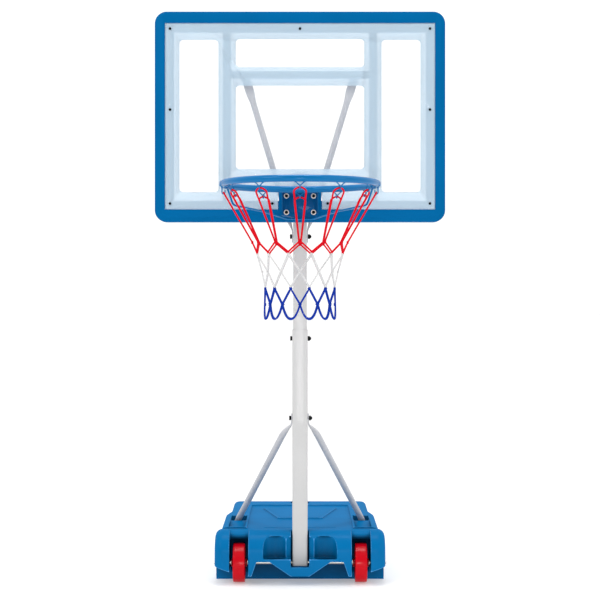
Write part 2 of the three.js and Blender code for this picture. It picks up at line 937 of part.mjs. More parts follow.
// Stay from the mast's bolt to its pocket in the deck.
function stay() {
  const poleX = lowerPoleSide / 2 + seatGap + tabThick / 2;
  const floor = deckHeight - stayPocketDeep + seatGap + tabThick / 2;
  const knee = place(stayKneeOut, stayKneeBack, stayKneeZ);
  const deck = place(stayDeckX, stayDeckY, stayDeckZ);
  const level = place(0, 1, 1).normalize();
  const [tabHalf, tabThin] = pressSizes(stayRadius, stayTabHalf, 1);
  const [midHalf, midThin] = pressSizes(stayRadius, stayTabHalf, halfPressShare);
  const round = [stayRadius, stayRadius];
  const down = axisZ.clone().negate();
  const tip = place(poleX, 0, stayBoltZ + stayTabRise);
  const tabEnd = place(poleX, 0, stayBoltZ - stayTabDrop);
  const foot = place(stayEndX, stayEndY, floor);
  const footStart = place(stayEndX, stayFlatY, floor);
  const footBend = footStart.clone().lerp(deck, halfPressRunShare);
  const stations = [
    ...tabStations(tip, down, stayTabRise + stayTabDrop, axisY, [tabHalf, tabThin]),
    {
      at: tabEnd.lerp(knee, halfPressRunShare),
      across: axisY,
      sizes: [midHalf, midThin],
      press: halfPressShare,
    },
    { at: knee.clone().lerp(deck, stayKneeRunShare), across: level, sizes: round, press: 0 },
    { at: deck, across: level, sizes: round, press: 0 },
    {
      at: footBend.setZ(floor + stayFootRise),
      across: level,
      sizes: [midThin, midHalf],
      press: halfPressShare,
    },
    ...tabStations(foot, axisY, stayFlatY - stayEndY, axisZ, [tabThin, tabHalf]).reverse(),
  ];
  const hole = holeRadius(boltRadius, boltGap);
  const screw = holeRadius(screwShankRadius, boltGap);
  const reach = stayRadius;
  return asGeometry(
    cut(asSolid(pressedTube(stations)), [
      rodAlongX(poleX - reach, poleX + reach, 0, stayBoltZ, hole),
      post(screw, floor - reach, floor + reach, boltFacets).translate(stayEndX, stayScrewY, 0),
    ]),
  );
}

// Bar from the bolt on the upper pole to the board's cross rib.
function boardBar() {
  const slope = place(barSlope, 0, 1).normalize();
  const down = slope.clone().negate();
  const top = place(barTopX, boardBack + seatGap + tabThick / 2, crossRibZ);
  const poleX = upperPoleSide / 2 + seatGap + tabThick / 2;
  const [tabHalf, tabThin] = pressSizes(barRadius, barTabHalf, 1);
  const [midHalf, midThin] = pressSizes(barRadius, barTabHalf, halfPressShare);
  const round = [barRadius, barRadius];
  const tip = top.clone().addScaledVector(slope, barTabRise);
  const flatEnd = top.clone().addScaledVector(down, barFlatLength);
  const clearY = boardBack + barClear + barRadius;
  const roundStart = top.clone().addScaledVector(down, barTaperLength).setY(clearY);
  const poleTip = place(poleX, 0, barBoltZ - barTabDrop);
  const poleTabTop = place(poleX, 0, barBoltZ + barTabDrop);
  const drop = (roundStart.z - poleTabTop.z) * (1 - barBendShare);
  const roundEnd = roundStart.clone().addScaledVector(down, drop / slope.z).setY(barBendY);
  const stations = [
    ...tabStations(tip, down, barTabRise + barFlatLength, axisX, [tabHalf, tabThin]),
    {
      at: flatEnd.lerp(roundStart, halfPressRunShare),
      across: axisX,
      sizes: [midHalf, midThin],
      press: halfPressShare,
    },
    { at: roundStart, across: axisX, sizes: round, press: 0 },
    { at: roundEnd, across: axisX, sizes: round, press: 0 },
    {
      at: roundEnd.clone().lerp(poleTabTop, halfPressRunShare),
      across: axisX,
      sizes: [midThin, midHalf],
      press: halfPressShare,
    },
    ...tabStations(poleTip, axisZ, 2 * barTabDrop, axisX, [tabThin, tabHalf]).reverse(),
  ];
  for (const station of stations.slice(-tabTipShares.length)) station.along = down;
  const hole = holeRadius(boltRadius, boltGap);
  const screw = holeRadius(screwShankRadius, boltGap);
  return asGeometry(
    cut(asSolid(pressedTube(stations)), [
      rodAlongX(0, poleX + barRadius, 0, barBoltZ, hole),
      rodAlongY(barTopX, top.y - barRadius, top.y + barRadius, crossRibZ, screw),
    ]),
  );
}

// Six-sided head or nut along +Z from the floor up, with its top edge broken.
function hexHead(across, height) {
  const radius = across / Math.sqrt(3);
  const chamfer = radius - across / 2;
  const profile = [
    [0, 0],
    [radius, 0],
    [radius, height - chamfer],
    [radius - chamfer, height],
    [0, height],
  ];
  return turned(profile, hexSides);
}

// Dome on top of a nut, from height low.
function nutDome(radius, low, height) {
  const profile = [[0, low]];
  for (let step = 0; step < softFacets; step += 1) {
    const turn = (step * Math.PI) / 2 / softFacets;
    profile.push([radius * Math.cos(turn), low + height * Math.sin(turn)]);
  }
  profile.push([0, low + height]);
  return turned(profile, smallFacets);
}

// Bolt across the mast whose head and nut bear on faces at a distance from the middle.
function crossBolt(name, face, z) {
  const seat = face + seatGap;
  const left = axisX.clone().negate();
  const head = aimed(hexHead(boltAcross, boltHead), place(-seat, 0, z), left);
  const shank = rodAlongX(-seat - boltHead / 2, seat + boltProud, 0, z, boltRadius);
  addMesh(`${name}_bolt`, asGeometry(join([head, shank])), "blackSteel");
  const body = join([
    hexHead(boltAcross, nutHeight),
    nutDome(boltAcross / 2 - seatGap, nutHeight / 2, nutHeight / 2 + domeHeight),
  ]);
  const bore = post(holeRadius(boltRadius, seatGap), -overrun, boltProud + seatGap, boltFacets);
  const nut = asGeometry(cut(body, [bore]));
  addMesh(`${name}_nut`, aimed(nut, place(seat, 0, z), axisX), "blackSteel");
}

// Pan-head screw along +Z with its head's underside at zero.
function panScrew() {
  const head = turned(
    [
      [0, 0],
      [screwHeadRadius, 0],
      [screwCrownRadius, screwHeadHigh],
      [0, screwHeadHigh],
    ],
    headFacets,
  );
  const shank = post(screwShankRadius, -screwLength, screwHeadHigh / 2, hexSides);
  return asGeometry(join([head, shank]));
}

// Places of the nine screws in the sheet, as [x, z].
function sheetScrewPlaces() {
  const side = sheetHalf - screwInset;
  const top = sheetTop - topScrewInset;
  const low = sheetLow + lowScrewInset;
  return [
    [-side, top],
    [0, top],
    [side, top],
    [-side, midScrewZ],
    [side, midScrewZ],
    [-side, low],
    [side, low],
    [-midScrewX, low],
    [midScrewX, low],
  ];
}

// Places of the four rim bolts, as [x, z].
const rimBoltPlaces = [
  [-rimBoltX, rimBoltHighZ],
  [rimBoltX, rimBoltHighZ],
  [-rimBoltX, rimBoltLowZ],
  [rimBoltX, rimBoltLowZ],
];

// Holes along Y at places [x, z].
function holesAlongY(places, radius, from, to) {
  return places.map(([x, z]) => rodAlongY(x, from, to, z, radius));
}

// Open-backed pockets in the frame's border, all round but for the boss.
function borderPockets() {
  const front = -boardFront + frameWall;
  const back = boardBack + overrun;
  const pockets = [];
  const addRow = (from, to, count, make) => {
    const pitch = (to - from) / count;
    for (let index = 0; index < count; index += 1) {
      const start = from + index * pitch + pocketGap / 2;
      pockets.push(make(start, start + pitch - pocketGap));
    }
  };
  const edge = boardWidth / 2 - frameWall;
  const inner = sheetHalf + sheetMargin + frameWall;
  const corner = boardWidth / 2 - boardCorner;
  const sideLow = boardLow + boardCorner;
  const sideHigh = boardTop - boardCorner;
  for (const mirror of [1, -1]) {
    const spanX = [inner * mirror, edge * mirror].sort((a, b) => a - b);
    addRow(sideLow, sideHigh, sidePockets, (low, high) => block(...spanX, front, back, low, high));
    const spanLow = [boardLow + frameWall, sheetLow - sheetMargin - frameWall];
    addRow(bossHalf + frameWall, corner, topPockets / 2, (from, to) => {
      const span = [from * mirror, to * mirror].sort((a, b) => a - b);
      return block(...span, front, back, ...spanLow);
    });
  }
  const spanTop = [sheetTop + sheetMargin + frameWall, boardTop - frameWall];
  addRow(-corner, corner, topPockets, (from, to) => block(from, to, front, back, ...spanTop));
  return pockets;
}

// Openings between the ledge and the ribs: two in the middle and a tall one on each side.
function frameWindows() {
  const edge = sheetHalf - ledgeWidth;
  const ribIn = ribX - ribWidth / 2;
  const ribOut = ribX + ribWidth / 2;
  const low = sheetLow + ledgeWidth;
  const high = sheetTop - ledgeWidth;
  const span = [-boardFront - overrun, boardBack + overrun];
  return [
    block(-ribIn, ribIn, ...span, low, crossRibZ - crossRibHigh / 2),
    block(-ribIn, ribIn, ...span, crossRibZ + crossRibHigh / 2, high),
    ...blockPair(ribOut, edge, ...span, low, high),
  ];
}

function boardFrame() {
  const style = { edge: boardEdge, curve: archFacets };
  const plan = roundedBox(boardWidth / 2, boardLow, boardTop, boardCorner);
  const slab = asSolid(alongY(plan, -boardFront, boardBack, style));
  const wide = sheetHalf + sheetMargin;
  const low = sheetLow - sheetMargin;
  const high = sheetTop + sheetMargin;
  const hollow = cut(slab, [
    block(-wide, wide, -boardFront - overrun, ledgeFront, low, high),
    block(-wide, wide, ledgeFront + ledgeDepth, boardBack + overrun, low, high),
    ...frameWindows(),
    ...borderPockets(),
  ]);
  const ribLow = crossRibZ - crossRibHigh / 2;
  const crossRib = block(-ribX, ribX, ledgeFront, boardBack, ribLow, ribLow + crossRibHigh);
  const boss = block(-bossHalf, bossHalf, -boardFront, boardBack, low - frameWall, bossTop);
  const whole = hollow.add(asSolid(crossRib)).add(asSolid(boss));
  const through = [-boardFront - overrun, boardBack + overrun];
  const pilot = holeRadius(screwShankRadius, seatGap);
  const depth = screwLength + seatGap;
  const barTop = [
    [-barTopX, crossRibZ],
    [barTopX, crossRibZ],
  ];
  return asGeometry(
    cut(whole, [
      ...holesAlongY(rimBoltPlaces, holeRadius(rimBoltRadius, boltGap), ...through),
      ...holesAlongY(sheetScrewPlaces(), pilot, ledgeFront - overrun, sheetFront + depth),
      ...holesAlongY(barTop, pilot, boardBack + tabThick - depth, boardBack + overrun),
    ]),
  );
}

function boardPanel() {
  const wide = sheetHalf;
  const half = bossHalf + notchGap;
  const notchTop = bossTop + notchGap;
  const sheet = outline([
    [-wide, sheetLow],
    [-half, sheetLow],
    [-half, notchTop],
    [half, notchTop],
    [half, sheetLow],
    [wide, sheetLow],
    [wide, sheetTop],
    [-wide, sheetTop],
  ]);
  const hole = holeRadius(screwShankRadius, boltGap);
  const span = [sheetFront - overrun, sheetBack + overrun];
  const body = asSolid(alongY(sheet, sheetFront, sheetBack));
  return asGeometry(cut(body, holesAlongY(sheetScrewPlaces(), hole, ...span)));
}

// Plate behind the board with two flanges that clasp the upper pole.
function headPlate() {
  const web = block(-headHalf, headHalf, headFront, headBack, headLow, headTop);
  const inner = upperPoleSide / 2 + seatGap;
  const outer = inner + headFlange;
  const flanges = blockPair(inner, outer, headFront, headFlangeBack, headLow, headTop);
  const hole = holeRadius(rimBoltRadius, boltGap);
  const span = [headFront - overrun, headBack + overrun];
  return asGeometry(cut(join([web, ...flanges]), holesAlongY(rimBoltPlaces, hole, ...span)));
}

// A place on the rim or the net: turn is in steps of one hook, from the front to the right.
function polar(turn, radius, z, aside = 0) {
  const angle = (turn * 2 * Math.PI) / hookCount;
  const x = radius * Math.sin(angle) + aside * Math.cos(angle);
  const y = rimY - radius * Math.cos(angle) + aside * Math.sin(angle);
  return place(x, y, z);
}

// Ring of round section round the rim's middle.
function torus(radius, section = rimTubeFacets) {
  return new THREE.TorusGeometry(rimRadius, radius, section, rimFacets).translate(0, rimY, rimZ);
}

// Round wire through points that lie in one plane.
function planeWire(points, normal, radius, facets) {
  const last = points.length - 1;
  return loft(
    points.map((point, index) => {
      const before = points[Math.max(index - 1, 0)];
      const after = points[Math.min(index + 1, last)];
      const aside = after.clone().sub(before).normalize().cross(normal);
      const loop = [];
      for (let corner = 0; corner < facets; corner += 1) {
        const angle = (corner * 2 * Math.PI) / facets;
        const spot = point.clone().addScaledVector(normal, radius * Math.cos(angle));
        loop.push(spot.addScaledVector(aside, radius * Math.sin(angle)));
      }
      return loop;
    }),
  );
}

// Wire hook under the rim: two legs that meet, and a crook that turns up inside.
function hook(turn) {
  const under = rimZ - rimTube + rimWall * hookRootShare;
  const legEnd = polar(turn, rimRadius, rimZ - hookNeckDrop);
  const legs = [hookHalf, -hookHalf].map((aside) =>
    rod(polar(turn, rimRadius, under, aside), legEnd, hookWire, hookFacets),
  );
  const crook = [polar(turn, rimRadius, rimZ - hookNeckDrop + hookWire)];
  for (let step = 0; step <= hookBendSteps; step += 1) {
    const angle = (step * Math.PI) / hookBendSteps;
    const radius = cordRingRadius + hookCrookRadius * Math.cos(angle);
    crook.push(polar(turn, radius, cordRingZ - hookCrookRadius * Math.sin(angle)));
  }
  crook.push(polar(turn, cordRingRadius - hookCrookRadius, cordRingZ + hookTipRise));
  return [...legs, planeWire(crook, tangent(turn), hookWire, hookFacets)];
}

// Direction along the rim, to the right at the front.
function tangent(turn) {
  return polar(turn, 0, 0, 1).sub(polar(turn, 0, 0));
}

function rimRing() {
  const hooks = [];
  for (let turn = 0; turn < hookCount; turn += 1) hooks.push(...hook(turn));
  const whole = join([torus(rimTube), ...hooks]);
  const vent = post(rimVentRadius, rimZ - rimTube - overrun, rimZ, boltFacets);
  const ventPlace = polar(hookCount / 2 + ventTurn, rimRadius, 0);
  vent.translate(ventPlace.x, ventPlace.y, 0);
  return asGeometry(cut(whole, [torus(rimTube - rimWall, rimBoreFacets), vent]));
}

// Folded bracket from the board to the back of the rim.
function rimBracket() {
  const reach = rimY + rimRadius - rimTube;
  const flangeTop = rimZ + plateThick / 2;
  const plate = block(-plateHalf, plateHalf, plateFront, plateBack, plateLow, plateTop);
  const flange = block(-plateHalf, plateHalf, reach, plateFront, flangeTop - plateThick, flangeTop);
  const cheek = outline([
    [plateFront, plateTop],
    [plateFront, plateTop - gussetRise],
    [reach, rimZ - gussetTip / 2],
    [reach, rimZ + gussetTip / 2],
  ]);
  const cheeks = [plateHalf - plateThick, -plateHalf].map((x) => alongX(cheek, x, x + plateThick));
  const round = holeRadius(rimRadius + rimTube, seatGap, rimFacets);
  const clear = post(round, plateLow, plateTop + overrun, rimFacets).translate(0, rimY, 0);
  const holes = holesAlongY(
    rimBoltPlaces,
    holeRadius(rimBoltRadius, boltGap),
    plateFront - overrun,
    plateBack + overrun,
  );
  return asGeometry(cut(join([plate, flange, ...cheeks]), [clear, ...holes]));
}

// Bent wire from both sides of the rim, down to the foot of the bracket. Its bends are shares of
// the way in X, Y and Z from the foot to the seat under the ring.
function rimBrace() {
  const foot = place(bracePlateHalf, plateFront - seatGap - braceRadius, plateLow + braceRise);
  const seat = polar(braceTurn, rimRadius, rimZ - braceSeatDrop);
  const rise = seat.clone().sub(foot);
  const bends = braceShares.map((share) => rise.clone().multiply(place(...share)).add(foot));
  const half = [seat, ...bends, foot];
  const mirror = half.map((point) => place(-point.x, point.y, point.z)).reverse();
  const path = bentPath([...half, ...mirror], braceBend);
  const wire = asSolid(tube(path, braceRadius, braceSteps, braceFacets));
  return asGeometry(cut(wire, [torus(holeRadius(rimTube, seatGap, rimTubeFacets))]));
}

// Bolt, washer and nut of the rim at a place.
function addRimFastener(number, [x, z]) {
  const forward = axisY.clone().negate();
  const washerBack = plateFront - seatGap;
  const seat = washerBack - rimWasherThick - seatGap;
  const nutSeat = headBack + seatGap;
  const head = aimed(hexHead(rimBoltAcross, rimBoltHead), place(x, seat, z), forward);
  const end = nutSeat + rimNutHeight + rimBoltProud;
  const shank = rodAlongY(x, seat - rimBoltHead / 2, end, z, rimBoltRadius);
  addMesh(`rim_bolt_${number}`, asGeometry(join([head, shank])), "blackSteel");
  const hole = holeRadius(rimBoltRadius, boltGap);
  const flat = ring(hole, rimWasherRadius, 0, rimWasherThick, headFacets);
  addMesh(`rim_washer_${number}`, aimed(flat, place(x, washerBack, z), forward), "zinc");
  const bore = post(holeRadius(rimBoltRadius, seatGap), -overrun, rimNutHeight + overrun, boltFacets);
  const nut = cut(asSolid(hexHead(rimBoltAcross, rimNutHeight)), [bore]);
  addMesh(`rim_nut_${number}`, aimed(asGeometry(nut), place(x, nutSeat, z), axisY), "zinc");
}

// Endless cord round the net through stations of { turn, radius, height, swell }.
function endlessCord(stations, cord) {
  const spots = stations.map(({ turn, radius, height }) => polar(turn, radius, height));
  const count = spots.length;
  const loops = stations.map(({ turn, swell }, index) => {
    const before = spots[(index + count - 1) % count];
    const along = spots[(index + 1) % count].clone().sub(before).normalize();
    const across = polar(turn, 1, 0).sub(polar(turn, 0, 0));
    const size = cord * swell * Math.cos(Math.PI / wireFacets);
    return pressedSection({ at: spots[index], along, across, sizes: [size, size], press: 0 }, wireFacets);
  });
  return loft(loops, true);
}

// Stations of a knot between its two neighbours, each given as [turn, radius, height].
function knotStations(before, at, after, cord) {
  const [turn, radius, height] = at;
  const beside = (other) => {
    const run = polar(...other).distanceTo(polar(...at));
    const share = (cord * knotReach) / run;
    const spot = at.map((value, index) => THREE.MathUtils.lerp(value, other[index], share));
    return { turn: spot[0], radius: spot[1], height: spot[2], swell: 1 };
  };
  return [beside(before), { turn, radius, height, swell: knotSwell }, beside(after)];
}

// Endless cord that swells at every bend, or at every bend but the plain ones.
function zigzagCord(bends, cord, isPlain = () => false) {
  const count = bends.length;
  const stations = bends.flatMap((bend, index) => {
    if (isPlain(index)) return [{ turn: bend[0], radius: bend[1], height: bend[2], swell: 1 }];
    const shifted = (other, wrap) => [other[0] + wrap * hookCount, other[1], other[2]];
    const before = index > 0 ? bends[index - 1] : shifted(bends[count - 1], -1);
    const after = index < count - 1 ? bends[index + 1] : shifted(bends[0], 1);
    return knotStations(before, bend, after, cord);
  });
  return endlessCord(stations, cord);
}

// Cord that lies in a hook's crook and falls on both sides to its knot.
function redLoop(turn) {
  const side = (sign) =>
    loopShares.map(([drop, half]) => {
      const radius = THREE.MathUtils.lerp(cordRingRadius, redKnotRadius, drop);
      const height = THREE.MathUtils.lerp(cordRingZ, redKnotZ, drop);
      return polar(turn, radius, height, sign * half * loopHalf);
    });
  const points = [...side(-1).reverse(), ...side(1).slice(1)];
  const fall = polar(turn, redKnotRadius, redKnotZ).sub(polar(turn, cordRingRadius, cordRingZ));
  const normal = fall.cross(tangent(turn)).normalize();
  return planeWire(points, normal, redCord, wireFacets);
}

function netRed() {
  const pieces = [];
  for (let turn = 0; turn < hookCount; turn += 1) pieces.push(redLoop(turn));
  const bends = [];
  for (let turn = 0; turn < hookCount; turn += 1) {
    bends.push([turn, redKnotRadius, redKnotZ], [turn + knotShift, redJointRadius, redJointZ]);
  }
  pieces.push(zigzagCord(bends, twinCord));
  return asGeometry(join(pieces));
}

// A place on the line between two rings, a knot's gap away from the first.
function besideKnot([radius, height], [endRadius, endHeight], reach) {
  const share = (reach + seatGap) / Math.abs(endHeight - height);
  return [THREE.MathUtils.lerp(radius, endRadius, share), THREE.MathUtils.lerp(height, endHeight, share)];
}

function netWhite() {
  const cross = [whiteCrossRadius, whiteCrossZ];
  const reach = (cord) => knotSwell * (cord + whiteCord) * Math.cos(Math.PI / wireFacets);
  const top = besideKnot([redJointRadius, redJointZ], cross, reach(twinCord));
  const low = besideKnot([blueTopRadius, blueTopZ], cross, reach(blueCord));
  const cords = [knotShift, 1 + knotShift].map((start) => {
    const bends = [];
    for (let turn = start; turn < start + hookCount; turn += 2) {
      bends.push([turn, ...top], [turn + knotShift, ...cross]);
      bends.push([turn + 1, ...low], [turn + 1 + knotShift, ...cross]);
    }
    return zigzagCord(bends, whiteCord, (index) => index % 2 === 1);
  });
  return asGeometry(join(cords));
}

// Stations of a hanging bow of cord between two crossings, from a turn onwards.
function bowStations(turn) {
  const stations = [];
  for (let step = 1; step < bottomSteps - 1; step += 1) {
    const share = step / (bottomSteps - 1);
    const sag = 1 - Math.abs(2 * share - 1) ** bowPower;
    const radius = THREE.MathUtils.lerp(blueCrossRadius, blueLowRadius, sag);
    const height = THREE.MathUtils.lerp(blueCrossZ, blueLowZ, sag);
    stations.push({ turn: turn + share, radius, height, swell: 1 });
  }
  return stations;
}

function netBlue() {
  const cords = [knotShift, 1 + knotShift].map((start) => {
    const stations = [];
    for (let turn = start; turn < start + hookCount; turn += 2) {
      const top = [turn, blueTopRadius, blueTopZ];
      const beside = (side) => [turn + side * knotShift, blueCrossRadius, blueCrossZ];
      const bow = bowStations(turn + knotShift);
      const low = (spot) => [spot.turn, spot.radius, spot.height];
      const nextTop = [turn + 2, blueTopRadius, blueTopZ];
      const far = [turn + 1 + knotShift, blueCrossRadius, blueCrossZ];
      stations.push(
        ...knotStations(beside(-1), top, beside(1), blueCord),
        ...knotStations(top, beside(1), low(bow[0]), blueCord).slice(0, 2),
        ...bow,
        ...knotStations(low(bow[bow.length - 1]), far, nextTop, blueCord).slice(1),
      );
    }
    return endlessCord(stations, blueCord);
  });
  return asGeometry(join(cords));
}

function addBase() {
  addMesh("base_tank", baseTank(), "tankBlue");
  addMesh("fill_cap", fillCap(), "blackPlastic");
  const sealLow = neckTop + seatGap;
  const seal = ring(neckInner, neckOuter - sealThick, sealLow, sealLow + sealThick, sealFacets);
  addMesh("fill_cap_seal", seal.translate(0, capY, 0), "sealRubber");
  const end = drumHalfWidth + axleProud;
  addMesh("axle", rodAlongX(-end, end, 0, axleHeight, axleRadius, roundFacets), "zinc");
  addPair("wheel", wheel(), "wheelRed");
  const reach = hubLength / 2 + seatGap;
  addPair("star_washer_inner", starWasher(wheelX - reach - washerThick), "zinc");
  addPair("star_washer_outer", starWasher(wheelX + reach), "zinc");
}

function addMast() {
  addMesh("lower_pole", lowerPole(), "poleGrey");
  addMesh("upper_pole", upperPole(), "poleGrey");
  addPair("stay", stay(), "poleGrey");
  const stayScrew = panScrew();
  const stayScrewZ = deckHeight - stayPocketDeep + 2 * seatGap + tabThick;
  addPair("stay_screw", stayScrew.translate(stayEndX, stayScrewY, stayScrewZ), "zinc");
  const tab = seatGap + tabThick;
  crossBolt("height", lowerPoleSide / 2, heightBoltZ);
  crossBolt("stay", lowerPoleSide / 2 + tab, stayBoltZ);
  crossBolt("bar", upperPoleSide / 2 + tab, barBoltZ);
}

function addBoard() {
  addMesh("head_plate", headPlate(), "poleGrey");
  addPair("board_bar", boardBar(), "poleGrey");
  const barScrewY = boardBack + 2 * seatGap + tabThick;
  addPair("bar_screw", aimed(panScrew(), place(barTopX, barScrewY, crossRibZ), axisY), "zinc");
  addMesh("board_frame", boardFrame(), "frameBlue");
  addMesh("board_panel", boardPanel(), "clearSheet");
  const forward = axisY.clone().negate();
  sheetScrewPlaces().forEach(([x, z], index) => {
    const screw = aimed(panScrew(), place(x, sheetFront - seatGap, z), forward);
    addMesh(`panel_screw_${index + 1}`, screw, "blackSteel");
  });
}

function addRim() {
  addMesh("rim_ring", rimRing(), "rimBlue");
  addMesh("rim_bracket", rimBracket(), "bracketBlue");
  addMesh("rim_brace", rimBrace(), "rimBlue");
  rimBoltPlaces.forEach((spot, index) => addRimFastener(index + 1, spot));
  addMesh("net_red", netRed(), "redCordage");
  addMesh("net_white", netWhite(), "whiteCordage");
  addMesh("net_blue", netBlue(), "blueCordage");
}

addBase();
addMast();
addBoard();
addRim();

const part = new THREE.Group();
part.add(hoop);

export default part;
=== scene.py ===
"""Looks of a poolside basketball hoop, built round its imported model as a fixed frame.

Metres, +Z up, +X to the right as seen from the pool, +Y away from the pool. The mast's axis
stands at MAST_Y. Each sub-assembly is a class whose fields are its sizes, each finish is a
frozen dataclass, and what repeats or follows a path is made by a geometry node tree.
"""

import json
import logging
import math
from collections.abc import Callable, Iterable, Sequence
from dataclasses import dataclass, field
from enum import Enum
from functools import cache

import bmesh
import bpy
from mathutils import Matrix, Quaternion, Vector

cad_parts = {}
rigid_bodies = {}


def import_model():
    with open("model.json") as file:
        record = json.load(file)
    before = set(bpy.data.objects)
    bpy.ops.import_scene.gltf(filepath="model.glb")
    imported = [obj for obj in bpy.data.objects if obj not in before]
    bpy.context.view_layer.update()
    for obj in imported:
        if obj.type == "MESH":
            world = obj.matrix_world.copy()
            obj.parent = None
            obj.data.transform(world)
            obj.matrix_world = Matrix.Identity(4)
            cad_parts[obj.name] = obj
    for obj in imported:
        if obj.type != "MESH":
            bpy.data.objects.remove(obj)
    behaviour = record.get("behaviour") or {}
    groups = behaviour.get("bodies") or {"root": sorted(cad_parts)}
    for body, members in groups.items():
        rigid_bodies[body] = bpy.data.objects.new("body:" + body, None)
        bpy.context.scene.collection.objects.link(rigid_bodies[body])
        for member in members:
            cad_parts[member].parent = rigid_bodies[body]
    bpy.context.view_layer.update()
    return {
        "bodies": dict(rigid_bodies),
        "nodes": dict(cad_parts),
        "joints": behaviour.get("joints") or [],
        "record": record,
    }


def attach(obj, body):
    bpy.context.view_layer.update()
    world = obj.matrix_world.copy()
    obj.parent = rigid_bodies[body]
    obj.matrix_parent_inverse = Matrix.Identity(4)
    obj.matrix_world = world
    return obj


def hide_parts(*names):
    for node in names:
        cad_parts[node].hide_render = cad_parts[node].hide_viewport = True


log = logging.getLogger("poolside_hoop")

Flat = tuple[float, float]
Triple = tuple[float, float, float]
Quad = tuple[float, float, float, float]
Piece = bpy.types.Object
Socket = bpy.types.NodeSocket
Places = Sequence[tuple[Vector, Quaternion]]

MAST_Y = -0.395
SEAT = 0.0003
PAST = 0.006
BOLT_HOLE = 0.0044
SCREW_HOLE = 0.0024
RIM_BOLT_HOLE = 0.0035
RIM_BOLTS = ((-0.042, 1.208), (0.042, 1.208), (-0.042, 1.1574), (0.042, 1.1574))
UP, RIGHT, BACK = Vector((0, 0, 1)), Vector((1, 0, 0)), Vector((0, 1, 0))
SIDES = ((1, "right"), (-1, "left"))

# Edges past these angles in degrees stay sharp
CRISP, PLAIN, FIRM, SOFT, ROUND = 30.0, 35.0, 50.0, 60.0, 80.0

# Points nearer than these distances are one, and the middle of a noise lies in this span
MERGED, POLES_MERGED = 1e-6, 1e-7
CLOUD_SPAN = (0.3, 0.7)


class Body(Enum):
    """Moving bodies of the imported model."""

    BASE = "base"
    UPPER = "upper"
    WHEEL_RIGHT = "wheel_right"
    WHEEL_LEFT = "wheel_left"
    HEIGHT_BOLT = "height_bolt"
    HEIGHT_NUT = "height_nut"
    CAP = "cap"


class Slot(Enum):
    """Material slots of the record."""

    TANK = "tank"
    CAP = "cap"
    SEAL = "seal"
    ZINC = "zinc"
    WHEEL = "wheel"
    POLE = "pole"
    DARK_STEEL = "dark_steel"
    FRAME = "frame"
    SHEET = "sheet"
    RIM = "rim"
    CORD_RED = "cord_red"
    CORD_WHITE = "cord_white"
    CORD_BLUE = "cord_blue"


class Carve(Enum):
    """Ways in which one solid changes another."""

    TAKE = "DIFFERENCE"
    ADD = "UNION"
    KEEP = "INTERSECT"


def hue(code: str) -> Triple:
    """Linear colour of a screen colour.

    Args:
        code: Six hexadecimal digits.

    Returns:
        Red, green and blue in linear light.
    """
    parts = [int(code[start:start + 2], 16) / 255 for start in (0, 2, 4)]
    return tuple(p / 12.92 if p <= 0.04045 else ((p + 0.055) / 1.055) ** 2.4 for p in parts)


def mix(start: float, end: float, share: float) -> float:
    """Value at a share of the way from start to end."""
    return start + (end - start) * share


# Node trees


class Bench:
    """Places and links nodes in one tree."""

    def __init__(self, tree: bpy.types.NodeTree) -> None:
        """Keeps the tree to work on."""
        self.tree = tree

    def add(self, kind: str, inputs: dict | None = None, **settings: object) -> bpy.types.Node:
        """Adds a node.

        Args:
            kind: Type name of the node.
            inputs: A value or a socket for each input, by its name or number.
            settings: Properties of the node.

        Returns:
            The new node.
        """
        node = self.tree.nodes.new(kind)
        for key, value in settings.items():
            setattr(node, key, value)
        for key, value in (inputs or {}).items():
            if isinstance(value, Socket):
                self.tree.links.new(value, node.inputs[key])
            else:
                node.inputs[key].default_value = value
        return node

    def math(self, operation: str, *values: object) -> Socket:
        """Result of a math node on one or two values or sockets."""
        return self.add("ShaderNodeMath", dict(enumerate(values)), operation=operation).outputs[0]

    def spread(self, value: Socket, source: Flat, target: Flat) -> Socket:
        """Value stretched from a source range to a target range."""
        names = ("From Min", "From Max", "To Min", "To Max")
        return self.add(
            "ShaderNodeMapRange", {"Value": value, **dict(zip(names, (*source, *target)))}).outputs[0]

    def noise(self, where: Socket, scale: float, detail: float = 3) -> Socket:
        """Smooth noise at a scale of features in a metre."""
        return self.add("ShaderNodeTexNoise", {"Vector": where, "Scale": scale, "Detail": detail}).outputs[0]

    def object_place(self, stretch: Triple = (1, 1, 1)) -> Socket:
        """Place on the object, stretched along each axis."""
        place = self.add("ShaderNodeTexCoord").outputs["Object"]
        return self.add("ShaderNodeMapping", {"Vector": place, "Scale": stretch}).outputs[0]

    def along(self, place: Socket, axis: str) -> Socket:
        """One of the three parts of a place."""
        return self.add("ShaderNodeSeparateXYZ", {0: place}).outputs[axis]

    def blend(self, share: object, first: object, second: object, way: str = "MIX") -> Socket:
        """Colour between two colours or sockets."""
        ends = {6: first, 7: second}
        inputs = {key: end if isinstance(end, Socket) else (*end, 1) for key, end in ends.items()}
        return self.add(
            "ShaderNodeMix", {"Factor": share, **inputs}, data_type="RGBA", blend_type=way).outputs[2]

    def bump(self, height: Socket, depth: float, strength: float = 1, under: Socket | None = None) -> Socket:
        """Normal raised by a height of up to depth metres, over the bumps under it."""
        inputs = {"Height": height, "Distance": depth, "Strength": strength}
        if under is not None:
            inputs["Normal"] = under
        return self.add("ShaderNodeBump", inputs).outputs[0]


# Finishes


